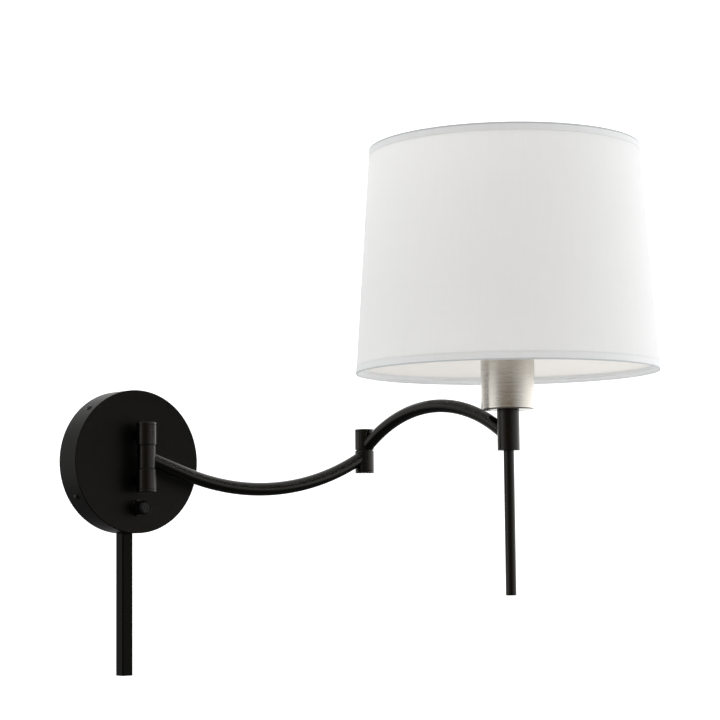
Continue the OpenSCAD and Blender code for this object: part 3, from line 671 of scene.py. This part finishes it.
def arm_tube(bow, outer, inner, near_seat, far_seat, lip=None):
    """A bowed tube with both walls, coped to a barrel at each end; lip trims its near end level."""
    turn = circle(64)[:, None]
    run = np.linspace(0, 1, 90)
    walls = []
    for tube_r in (outer, inner):
        first = bow.meets(tube_r, turn, near_seat, False)
        last = bow.meets(tube_r, turn, far_seat, True)
        x, y, z = bow.at(first + (last - first) * run, tube_r * np.cos(turn),
                         tube_r * np.sin(turn))
        if lip is not None:
            z = np.where(x < 30 * mm, np.maximum(z, lip), z)
        walls.append(bow.placed(x, y, z))
    return np.concatenate([walls[0], walls[1][:, ::-1]], 1), True, True


def fillet(bow, tube_r, barrel_r, far, size, lip=None):
    """A braze bead where a tube enters a barrel: a small round carried along their meeting line."""
    turn = circle(96)[:, None]
    along = bow.meets(tube_r, turn, barrel_r, far)
    x, y, z = bow.at(along, tube_r * np.cos(turn), tube_r * np.sin(turn))
    out_x, out_y, out_z = bow.at(along, (tube_r + mm) * np.cos(turn), (tube_r + mm) * np.sin(turn))
    from_axis = x - (bow.run if far else 0.0)
    length = np.hypot(from_axis, y)
    wide = size * np.cos(circle(10))
    tall = size * np.sin(circle(10))
    z = z + tall * (out_z - z) / mm
    if lip is not None:
        z = np.maximum(z, lip)
    return bow.placed(x + wide * from_axis / length + tall * (out_x - x) / mm,
                      y + wide * y / length + tall * (out_y - y) / mm, z), True, True


joints = {joint["name"]: joint for joint in frame["joints"]}
knuckle = joints["wall_swivel"]["pos_m"]
elbow = joints["elbow"]["pos_m"]
low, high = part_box("stem")
stem_at = (0.5 * (low.x + high.x), 0.5 * (low.y + high.y))
stem_radius = 0.5 * (high.x - low.x)

tube_radius = 6.25 * mm
tube_bore = 5.05 * mm
braze = 0.28 * mm
inner_start_z, inner_end_z = 3.8 * mm, 9.3 * mm
inner_bend = 236.7 * mm
inner_lead = 41.6 * mm
inner_bow = Bow(knuckle[:2], math.atan2(elbow[1] - knuckle[1], elbow[0] - knuckle[0]),
                math.dist(knuckle[:2], elbow[:2]), inner_start_z, inner_end_z, inner_bend,
                inner_lead, 1)
low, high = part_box("middle_barrel")
middle_radius = 0.5 * (high.x - low.x)
low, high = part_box("elbow_lower_barrel")
elbow_radius = 0.5 * (high.x - low.x)
inner_tube = build("inner_arm_bowed_tube", [
    arm_tube(inner_bow, tube_radius, tube_bore, middle_radius - 1.2 * mm, elbow_radius - 1.3 * mm),
    fillet(inner_bow, tube_radius, middle_radius, False, braze),
    fillet(inner_bow, tube_radius, elbow_radius, True, braze)], frame_coat, sharp=60)
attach(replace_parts(inner_tube, "inner_arm_tube"), "inner_arm")

middle = build("turning_barrel", [barrel("middle_barrel", pivot_bore)], frame_coat)
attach(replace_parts(middle, "middle_barrel"), "inner_arm")

# -------------------------------------------------------------------------------- elbow
# The elbow is a pair of turned barrels with a thin black washer between them. The lower one holds
# the pivot, a nut in the upper one sets the pinch, and a cap closes each end.
elbow_lower = build("elbow_barrel_lower", [barrel("elbow_lower_barrel", pivot_bore)], frame_coat)
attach(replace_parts(elbow_lower, "elbow_lower_barrel"), "inner_arm")

low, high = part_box("elbow_bottom_cap")
elbow_foot = build("elbow_cap_lower",
                   [disc_at(elbow[:2], elbow_radius, low.z, low.z + cap_t, cap_edge)], frame_coat)
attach(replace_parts(elbow_foot, "elbow_bottom_cap"), "inner_arm")

nut_well = 6.7 * mm
low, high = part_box("elbow_upper_barrel")
well_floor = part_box("elbow_nut")[0].z - 0.1 * mm
upper_outline = soften([(pivot_bore, low.z), (elbow_radius, low.z, barrel_edge),
                        (elbow_radius, high.z, barrel_edge), (nut_well, high.z),
                        (nut_well, well_floor), (pivot_bore, well_floor)])
elbow_upper = build("elbow_barrel_upper", [turned(upper_outline, elbow[:2])], frame_coat)
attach(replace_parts(elbow_upper, "elbow_upper_barrel"), "outer_arm")

low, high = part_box("elbow_top_cap")
elbow_lid = build("elbow_cap_upper",
                  [disc_at(elbow[:2], elbow_radius, high.z - cap_t, high.z, cap_edge)], frame_coat)
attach(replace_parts(elbow_lid, "elbow_top_cap"), "outer_arm")

dress(zinc, "elbow_pivot", "elbow_nut", "elbow_stop_pin")
dress(black_resin, "knuckle_washers", "elbow_washer")

# ---------------------------------------------------------------------------- outer arm
# The outer arm is the same tube, rolled to an arch. Its lip over the elbow is ground level, so
# that it passes over the lower barrel, and its far end is coped and brazed to the stem.
outer_run = math.dist(elbow[:2], stem_at)
outer_arch = 35.8 * mm
outer_start_z, outer_end_z = 14.6 * mm, 17.1 * mm
outer_chord = math.hypot(outer_run, outer_end_z - outer_start_z)
outer_bend = (outer_chord ** 2 / 4 + outer_arch ** 2) / (2 * outer_arch)
outer_bow = Bow(elbow[:2], math.atan2(stem_at[1] - elbow[1], stem_at[0] - elbow[0]), outer_run,
                outer_start_z, outer_end_z, outer_bend, 0.0, -1)
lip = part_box("elbow_upper_barrel")[0].z + 0.2 * mm
outer_tube = build("outer_arm_arched_tube", [
    arm_tube(outer_bow, tube_radius, tube_bore, elbow_radius - 1.3 * mm, stem_radius - 1.3 * mm,
             lip),
    fillet(outer_bow, tube_radius, elbow_radius, False, braze, lip),
    fillet(outer_bow, tube_radius, stem_radius, True, braze)], frame_coat, sharp=60)
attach(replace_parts(outer_tube, "outer_arm_tube"), "outer_arm")

# --------------------------------------------------------------------- stem and hand rod
# The stem is a turned steel collar. The lamp is swung by the long rod pressed into its foot, a
# tube whose lower end is closed by a domed plug, and the cup stands on its flat top.
low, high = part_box("stem")
rod_low, rod_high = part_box("hand_rod")
rod_radius = 0.5 * (rod_high.x - rod_low.x)
stem_outline = soften([(0.0, high.z), (0.0, rod_high.z), (rod_radius + 0.03 * mm, rod_high.z),
                       (rod_radius + 0.03 * mm, low.z, 0.2 * mm),
                       (stem_radius, low.z, 0.4 * mm), (stem_radius, high.z, 0.4 * mm)])
stem_outline = np.roll(stem_outline, -1, axis=0)
stem = build("turned_stem", [turned(stem_outline, stem_at, False)], frame_coat)
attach(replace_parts(stem, "stem"), "outer_arm")

rod_bore = rod_radius - 1.2 * mm
rod_outline = soften([(rod_bore, rod_low.z), (rod_radius, rod_low.z, 0.15 * mm),
                      (rod_radius, rod_high.z, 0.15 * mm), (rod_bore, rod_high.z)])
rod = build("hand_rod_tube", [turned(rod_outline, stem_at, sides=64)], frame_coat)
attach(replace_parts(rod, "hand_rod"), "outer_arm")

plug_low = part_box("rod_plug")[0].z
plug_outline = soften([(0.0, plug_low), (rod_radius, plug_low, 0.8 * mm),
                       (rod_radius, rod_low.z), (rod_bore - 0.03 * mm, rod_low.z),
                       (rod_bore - 0.03 * mm, rod_low.z + 6 * mm, 0.3 * mm),
                       (0.0, rod_low.z + 6 * mm)])
plug = build("hand_rod_plug", [turned(plug_outline, stem_at, False, 64)], frame_coat)
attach(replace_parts(plug, "rod_plug"), "outer_arm")


# ---------------------------------------------------------------------------------- cup
# The cup is spun from sheet steel, nickel plated, then brushed on the lathe so that the lines run
# round it, and lacquered. Its foot has a tight radius and its mouth a thin rolled edge.
def brushed_nickel(centre):
    """Nickel brushed round a Z axis: fine rings in the gloss and relief, a warm cast, and a painted
    highlight on its rounded edges.
    """
    metal = Graph(bpy.data.materials.new("brushed_nickel"))
    place = metal.place()
    moved = metal.add("Mapping", None, place, Location=(-centre[0], -centre[1], 0.0))
    x = metal.add("SeparateXYZ", None, moved, out="X")
    y = metal.add("SeparateXYZ", None, moved, out="Y")
    z = metal.add("SeparateXYZ", None, moved, out="Z")
    around_cup = y.math("ARCTAN2", x)
    strokes = metal.add("CombineXYZ", None, x * 90.0, y * 90.0, z * 9000.0)
    fine = metal.noise(strokes, 1.0, 2.0)
    bands = metal.add("CombineXYZ", None, x * 24.0, y * 24.0, z * 1500.0)
    coarse = metal.noise(bands, 1.0, 2.0)
    stain = metal.add("TexNoise", {"noise_dimensions": "1D"}, W=around_cup * 1.2, Scale=2.0,
                      Detail=1.0)
    edge = metal.edge()
    lines = fine * 0.6 + coarse * 0.4
    tone = metal.blend(lines, (0.46, 0.435, 0.395), (0.54, 0.515, 0.475))
    warm = metal.blend(stain * 0.25, tone, (0.48, 0.437, 0.385))
    # Rounded edges are lightened in colour: a painted edge highlight.
    nickel_edge_highlight_tone = metal.blend(edge * 0.5, warm, (0.62, 0.59, 0.55))
    relief = metal.relief(0.12, 0.01, lines)
    gloss = lines * 0.06 + 0.24 - edge * 0.06
    skin = metal.add("BsdfPrincipled", None, Base_Color=nickel_edge_highlight_tone, Metallic=1.0, Roughness=gloss,
                     Anisotropic=0.8, Anisotropic_Rotation=0.25, Normal=relief)
    return metal.finish(skin)


low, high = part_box("cup")
cup_radius = 0.5 * (high.x - low.x)
cup_wall = 1.0 * mm
cup_floor = 1.2 * mm
nipple_hole = 4.93 * mm
cup_outline = soften([(nipple_hole, low.z), (cup_radius, low.z, 1.2 * mm),
                      (cup_radius, high.z, 0.3 * mm), (cup_radius - cup_wall, high.z, 0.3 * mm),
                      (cup_radius - cup_wall, low.z + cup_floor, 0.6 * mm),
                      (nipple_hole, low.z + cup_floor)], steps=6)
cup = build("spun_cup", [turned(cup_outline, stem_at, sides=160)], brushed_nickel(stem_at))
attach(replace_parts(cup, "cup"), "outer_arm")
dress(zinc, "stem_nipple", "cup_locknut")

# --------------------------------------------------------------------------- lamp socket
# The medium base socket is a phenolic body on a zinc cap. A rolled brass shell takes the bulb, a
# sprung contact lies at its bottom, and the thread outside takes the ribbed shade ring.
low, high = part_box("socket_body")
shell_low, shell_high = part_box("screw_shell")
shell_outer = 0.5 * (shell_high.x - shell_low.x)
ring_low, ring_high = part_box("shade_ring")
flange_top = ring_low.z - 1.2 * mm
flange_t = 2 * mm
body_radius = 17.0 * mm
thread_root = body_radius - 0.1 * mm
thread_deep = 0.55 * mm
well = shell_outer + 0.03 * mm
well_low = low.z + 6 * mm

below = soften([(0.0, well_low), (0.0, low.z), (body_radius, low.z, 0.8 * mm),
                (body_radius, flange_top - flange_t, 0.2 * mm),
                (20.0 * mm, flange_top - flange_t, 0.4 * mm), (20.0 * mm, flange_top, 0.4 * mm),
                (thread_root, flange_top)])[1:]
thread_points = 42
threads = profile(thread_root,
                  np.linspace(flange_top + 0.1 * mm, high.z - 0.3 * mm, thread_points))
mouth = soften([(thread_root, high.z - 1 * mm), (thread_root, high.z, 0.25 * mm),
                (well, high.z, 0.4 * mm), (well, well_low)])[1:]
body_outline = np.concatenate([below, threads, mouth, [[0.0, well_low, 0.0]]])
body_grid = cut_thread(revolve(body_outline), slice(len(below), len(below) + thread_points),
                       1.8 * mm, thread_deep)
body = build("phenolic_socket", [(upright(body_grid, stem_at), True, False)], black_resin,
             sharp=50, weighted=False)
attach(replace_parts(body, "socket_body"), "outer_arm")

shell_brass = plated("rolled_brass", (0.84, 0.65, 0.3), (0.7, 0.5, 0.22), 0.25)
shell_crest = 13.2 * mm
shell_t = 0.45 * mm
shell_pitch = 3.63 * mm
shell_points = 110
shell_hole, shell_foot = 9.0 * mm, 12.0 * mm
wall_in = profile(shell_crest - 0.05 * mm, np.linspace(shell_low.z + 2.5 * mm,
                                                       shell_high.z - 0.8 * mm, shell_points))
wall_out = wall_in[::-1] + [shell_t, 0, 0]
shell_floor = np.array([[shell_hole, shell_low.z + 0.5 * mm, 0],
                        [shell_foot, shell_low.z + 0.5 * mm, 0],
                        [shell_crest - 0.1 * mm, shell_low.z + 1.6 * mm, 0]])
shell_top = np.array([[shell_crest, shell_high.z, 1], [shell_crest + 0.5 * mm, shell_high.z, 1]])
shell_back = np.array([[shell_crest + 0.3 * mm, shell_low.z + 1.4 * mm, 0],
                       [shell_foot, shell_low.z, 0], [shell_hole, shell_low.z, 0]])
shell_outline = np.concatenate([shell_floor, wall_in, shell_top, wall_out, shell_back])
shell_grid = revolve(shell_outline)
first_in, first_out = len(shell_floor), len(shell_floor) + shell_points + len(shell_top)
cut_thread(shell_grid, slice(first_in, first_in + shell_points), shell_pitch, 0.62 * mm)
cut_thread(shell_grid, slice(first_out, first_out + shell_points), shell_pitch, 0.2 * mm)
screw_shell = build("rolled_screw_shell", [(upright(shell_grid, stem_at), True, True)],
                    shell_brass, sharp=60, weighted=False)
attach(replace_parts(screw_shell, "screw_shell"), "outer_arm")
dress(shell_brass, "centre_contact")
dress(zinc, "socket_cap")

rib_count = 36
ring_sides = 8 * rib_count
ring_radius = 0.5 * (ring_high.x - ring_low.x)
ring_outline = soften([(thread_root + thread_deep + 0.1 * mm, ring_low.z),
                       (ring_radius, ring_low.z, 0.5 * mm), (ring_radius, ring_high.z, 0.9 * mm),
                       (thread_root + thread_deep + 0.1 * mm, ring_high.z, 0.3 * mm)])
ring_grid = revolve(ring_outline, ring_sides)
ring_turn = circle(ring_sides)[:, None]
ribs = np.clip(1.4 * np.cos(rib_count * ring_turn), -1, 1) - 1
near_rim = np.hypot(ring_grid[..., 0], ring_grid[..., 1]) > ring_radius - 1.2 * mm
ring_grid[..., :2] *= (1 + 0.3 * mm / ring_radius * ribs * near_rim)[..., None]
shade_ring = build("ribbed_shade_ring", [(upright(ring_grid, stem_at), True, True)], black_resin,
                   sharp=50, weighted=False)
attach(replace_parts(shade_ring, "shade_ring"), "outer_arm")

# ------------------------------------------------------------------------- shade's frame
# Steel wire, welded and powder coated white: a hoop in each edge of the shade, and three spokes
# that drop from a stamped ring on the socket to the lower hoop, flattened a little at the welds.
shade_low, shade_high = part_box("shade_fabric")
shade_foot = 0.5 * (shade_high.x - shade_low.x)
shade_crown = 125.0 * mm
shade_bottom = shade_low.z
shade_top = shade_high.z
shade_tall = shade_top - shade_bottom
cloth_room = 0.8 * mm
liner_t = 0.7 * mm
hoop_wire = 1.3 * mm
hoop_inset = 3.2 * mm
spoke_turns = (-69.1, 50.9, 170.9)


def face_radius_at(z):
    """The radius of the shade's outer face at a height."""
    return shade_foot + (shade_crown - shade_foot) * (z - shade_bottom) / shade_tall


def hoop_radius(z):
    """The radius to the middle of a hoop's wire, close inside the liner at a height."""
    return face_radius_at(z) - cloth_room - liner_t - hoop_wire - 0.06 * mm


def hoop(z):
    """A wire ring that lies against the liner at a height."""
    turn = circle(16)
    ring = profile(hoop_radius(z) + hoop_wire * np.cos(turn), z + hoop_wire * np.sin(turn))
    return turned(ring, stem_at, sides=240)


white_coat = matt_paint("white_wire_coat", (0.84, 0.84, 0.82), 0.38)
hoop_z = shade_bottom + hoop_inset
for node, name, z in (("shade_bottom_wire", "lower_hoop", hoop_z),
                      ("shade_top_wire", "upper_hoop", shade_top - hoop_inset)):
    piece = build(name, [hoop(z)], white_coat, weighted=False)
    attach(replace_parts(piece, node), "outer_arm")

fitter_high = ring_low.z
fitter_t = 1.2 * mm
fitter_inner = thread_root + thread_deep + 0.08 * mm
fitter_outer = 22.0 * mm
fitter_ring = soften([(fitter_inner, fitter_high - fitter_t, 0.2 * mm),
                      (fitter_outer, fitter_high - fitter_t, 0.35 * mm),
                      (fitter_outer, fitter_high, 0.35 * mm),
                      (fitter_inner, fitter_high, 0.2 * mm)])
frame_parts = [turned(fitter_ring, stem_at)]
hoop_middle = hoop_radius(hoop_z)
for turn_deg in spoke_turns:
    turn = math.radians(turn_deg)
    outward = np.array([math.cos(turn), math.sin(turn), 0.0])
    start = outward * (fitter_outer - 1.0 * mm) + [0, 0, fitter_high - 0.5 * fitter_t]
    end = outward * (hoop_middle - hoop_wire - 0.1 * mm) + [0, 0, hoop_z + 0.3 * mm]
    share = np.linspace(0, 1, 24)[:, None, None]
    bend = np.sin(np.pi * share) ** 2 * 1.0 * mm
    spot = start + (end - start) * share + [0, 0, 1] * bend
    round_turn = circle(14)[None, :, None]
    near_welds = np.exp(-((1 - share) * 9) ** 2) + np.exp(-(share * 9) ** 2)
    squeeze = 1 + 0.35 * near_welds
    across = np.cross([0, 0, 1], outward)
    flat_up = np.cross(outward, across)
    wire = spot + hoop_wire * (squeeze * np.cos(round_turn) * across
                               + np.sin(round_turn) * flat_up / squeeze)
    ends_in = np.concatenate([start + 0 * wire[:1], wire, end + 0 * wire[:1]])
    grid = np.concatenate([ends_in, np.zeros((*ends_in.shape[:2], 1))], -1)
    grid[..., :3] += [stem_at[0], stem_at[1], 0.0]
    frame_parts.append((grid, False, True))
fitter = build("shade_spider", frame_parts, white_coat, weighted=False)
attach(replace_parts(fitter, "shade_fitter"), "outer_arm")


def lit_through(sheet, skin, colour, share):
    """Lets a share of the light through a thin closed sheet; its inward faces are left clear."""
    passed = sheet.add("BsdfTranslucent", None, colour)
    thin = sheet.add("MixShader", None, share, skin, passed)
    inward = sheet.add("NewGeometry", out="Backfacing")
    clear = sheet.add("BsdfTransparent")
    return sheet.add("MixShader", None, inward, thin, clear)


# ------------------------------------------------------------------------- shade's liner
# A stiff white styrene sheet, rolled to a cone and lapped at the back, gives the shade its form.
# The wire hoops clip inside it, and the linen is laminated to its outside.
lap_turn = math.radians(51)
lap_half = 5.0 * mm


def lap(turn, radius):
    """1 on the lapped joint at the back of a sheet and 0 elsewhere, by distance round it."""
    away = np.abs((turn - lap_turn + np.pi) % (2 * np.pi) - np.pi) * radius
    return np.clip((lap_half - away) / (0.6 * mm), 0, 1)


liner_z = np.linspace(shade_bottom + 0.1 * mm, shade_top - 0.1 * mm, 40)
liner_out = face_radius_at(liner_z) - cloth_room
liner_outline = np.concatenate([profile(liner_out, liner_z),
                                profile(liner_out - liner_t, liner_z)[::-1]])


def milky_styrene():
    """White styrene sheet: faint streaks from its rollers, and it lets some light through."""
    sheet = Graph(bpy.data.materials.new("white_styrene"))
    place = sheet.place()
    streaks = sheet.noise(place, 60.0, 3.0)
    tone = sheet.blend(streaks, (0.93, 0.915, 0.885), (0.96, 0.945, 0.92))
    relief = sheet.relief(0.2, 0.02, streaks)
    skin = sheet.add("BsdfPrincipled", None, Base_Color=tone, Roughness=0.55,
                     Specular_IOR_Level=0.3, Normal=relief)
    lit = lit_through(sheet, skin, (0.97, 0.945, 0.91), 0.52)
    return sheet.finish(lit)


liner = build("styrene_liner", [turned(liner_outline, stem_at, sides=360)], milky_styrene(),
              sharp=50)
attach(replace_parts(liner, "shade_liner"), "outer_arm")


# ------------------------------------------------------------------------ linen on shade
# Off-white linen is cut as one curved strip, laminated to the liner, lapped at the back and rolled
# over the wire at both edges. The weave has thick and thin yarns, and the roll shows as a hem.
def linen(name, hem_lines, fold_lines):
    """Plain weave drawn on cloth coordinates in metres: yarns over and under, slubs and fuzz.

    A faint painted shadow line shows where each hem ends, and a greyer painted shade where the cloth
    folds at an edge.
    """
    cloth = Graph(bpy.data.materials.new(name))
    spot = cloth.add("UVMap", {"uv_map": "cloth"})
    yarn, pick = 0.52 * mm, 0.6 * mm
    drift_noise = cloth.noise(spot, 55.0, 1.0)
    u = cloth.add("SeparateXYZ", None, spot, out="X") + drift_noise * (0.5 * mm)
    v = cloth.add("SeparateXYZ", None, spot, out="Y") + drift_noise * (0.5 * mm)
    warp = (u * (2 * math.pi / yarn)).math("COSINE") * 0.5 + 0.5
    weft = (v * (2 * math.pi / pick)).math("COSINE") * 0.5 + 0.5
    over = (u * (math.pi / yarn)).math("SINE") * (v * (math.pi / pick)).math("SINE") * 0.5 + 0.5
    weave = warp * over + weft * (1 - over)
    up_way = cloth.add("Mapping", None, spot, Scale=(1100.0, 22.0, 1.0))
    level_way = cloth.add("Mapping", None, spot, Scale=(18.0, 950.0, 1.0))
    slub_up = cloth.noise(up_way, 1.0, 2.0)
    slub_level = cloth.noise(level_way, 1.0, 2.0)
    slubs = slub_up * 0.62 + slub_level * 0.38
    cloud = cloth.noise(spot, 7.0, 3.0)
    yarn_tones = ((0.34, (0.82, 0.834, 0.85)), (0.5, (0.848, 0.863, 0.881)),
                  (0.66, (0.87, 0.886, 0.905)))
    tone = cloth.add("ValToRGB", {"stops": yarn_tones}, slubs * 0.7 + cloud * 0.16 + weave * 0.14)

    def near(lines, reach):
        away = [(v - line).math("ABSOLUTE") for line in lines]
        return (1 - away[0].math("MINIMUM", away[1]) / reach).math("MAXIMUM", 0.0)

    # A narrow band at each hem's end is darkened: a painted shadow line, and also a slight groove in
    # the relief.
    hem_groove_and_shadow = near(hem_lines, 0.7 * mm)
    hem_shadow_tone = cloth.blend(hem_groove_and_shadow * 0.06, tone, (0.62, 0.62, 0.625))
    # The cloth is darkened to a cool grey at each folded edge: painted shade under the roll.
    folded = cloth.blend((near(fold_lines, 1.3 * mm) * 1.5).math("MINIMUM", 0.75), hem_shadow_tone,
                         (0.42, 0.44, 0.47))
    past = [((line - v) * (side / mm)).math("MAXIMUM", 0.0).math("MINIMUM", 1.0)
            for line, side in zip(hem_lines, (1, -1))]
    single = 1 - past[0] - past[1]
    relief = cloth.relief(0.45, 0.12, weave * 0.6 + slubs * 0.9 - hem_groove_and_shadow * 0.4)
    skin = cloth.add("BsdfPrincipled", None, Base_Color=folded, Roughness=0.86,
                     Specular_IOR_Level=0.2, Sheen_Weight=0.12, Sheen_Roughness=0.5, Normal=relief)
    lit = lit_through(cloth, skin, (0.94, 0.95, 0.965), single * 0.22 + 0.15)
    return cloth.finish(lit)


cloth_t = 0.3 * mm
hem_width = 6.5 * mm
hem_raise = 0.22 * mm
roll_out = 2 * hoop_wire + 0.3 * mm
behind = cloth_room + liner_t + 0.5 * cloth_t

face_z = np.linspace(0, shade_tall, 64)
near_hem = np.concatenate([np.linspace(0, 1, 6) * hem_width * 1.15,
                           shade_tall - np.linspace(1, 0, 6) * hem_width * 1.15])
hem_step = hem_width + 0.3 * mm * np.array([-1, -0.33, 0.33, 1])
face_z = np.unique(np.round(np.concatenate([face_z[3:-3], near_hem, hem_step,
                                            shade_tall - hem_step]), 6))
from_edge = np.minimum(face_z, shade_tall - face_z)
raised = np.clip((hem_width + 0.2 * mm - from_edge) / (0.4 * mm), 0, 1) * hem_raise
face_in = cloth_room - 0.5 * cloth_t - 0.02 * mm - raised
flap_z = np.linspace(0.2 * mm, hem_width + 0.4 * mm, 16)
flap_in = behind + roll_out * np.exp(-((flap_z - hoop_inset) / (1.7 * mm)) ** 4)
under_turn = np.linspace(0, np.pi, 8)[1:-1]
under_half = 0.5 * (flap_in[0] - face_in[0])
under_in = flap_in[0] - under_half * (1 - np.cos(under_turn))
under_z = -0.35 * mm * np.sin(under_turn)
sink = np.concatenate([flap_in[::-1], under_in, face_in, under_in[::-1], flap_in])
rise = np.concatenate([flap_z[::-1], under_z, face_z, shade_tall - under_z[::-1],
                       shade_tall - flap_z])
middle_line = np.stack([face_radius_at(shade_bottom + rise) - sink, shade_bottom + rise], -1)
step = np.gradient(middle_line, axis=0)
across = np.stack([step[:, 1], -step[:, 0]], -1) / np.linalg.norm(step, axis=1, keepdims=True)
cloth_loop = np.concatenate([middle_line + 0.5 * cloth_t * across,
                             (middle_line - 0.5 * cloth_t * across)[::-1]])
cloth_outline = np.concatenate([cloth_loop, np.zeros((len(cloth_loop), 1))], -1)
cloth_sides = 300
cloth_grid = revolve(cloth_outline, cloth_sides)
cloth_turn = circle(cloth_sides)[:, None]
cloth_r = np.hypot(cloth_grid[..., 0], cloth_grid[..., 1])
on_face = cloth_r > face_radius_at(cloth_grid[..., 2]) - 0.75 * cloth_room
thicker = 0.25 * mm * lap(cloth_turn, cloth_r) * on_face
cloth_grid[..., :2] *= (1 + thicker / cloth_r)[..., None]

girth = np.linspace(0, 2 * np.pi, cloth_sides + 1)[:, None] * 0.5 * (shade_foot + shade_crown)
run = np.concatenate([[0], np.cumsum(np.hypot(*np.diff(middle_line, axis=0).T))])
cloth_run = np.concatenate([run, run[::-1], run[:1]])
cloth_uv = np.stack(np.broadcast_arrays(girth, cloth_run), -1)
before_face = len(flap_z) + len(under_z)
hem_lines = [float(np.interp(spot, face_z, run[before_face:before_face + len(face_z)]))
             for spot in (hem_width, shade_tall - hem_width)]
fold_lines = [float(run[before_face]), float(run[before_face + len(face_z) - 1])]
cover_cloth = build("linen_cover", [(upright(cloth_grid, stem_at), True, True)],
                    linen("off_white_linen", hem_lines, fold_lines), uv=cloth_uv, sharp=70,
                    weighted=False)
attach(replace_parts(cover_cloth, "shade_fabric"), "outer_arm")
# The cut is a strip of a ring: its slant height is the face and both rolls, and its ends lap
roll_allowance = 12 * mm
face_slant = math.hypot(shade_tall, shade_foot - shade_crown)
slant = face_slant + 2 * roll_allowance
cone_reach = shade_foot / (shade_foot - shade_crown) * face_slant
spread = 2 * math.pi * shade_foot / cone_reach
outer_reach = cone_reach + roll_allowance
inner_reach = outer_reach - slant
flat_width = 2 * outer_reach * math.sin(spread / 2) + 2 * lap_half
flat_length = outer_reach - inner_reach * math.cos(spread / 2)
flat_area = 0.5 * spread * (outer_reach ** 2 - inner_reach ** 2) + 2 * lap_half * slant
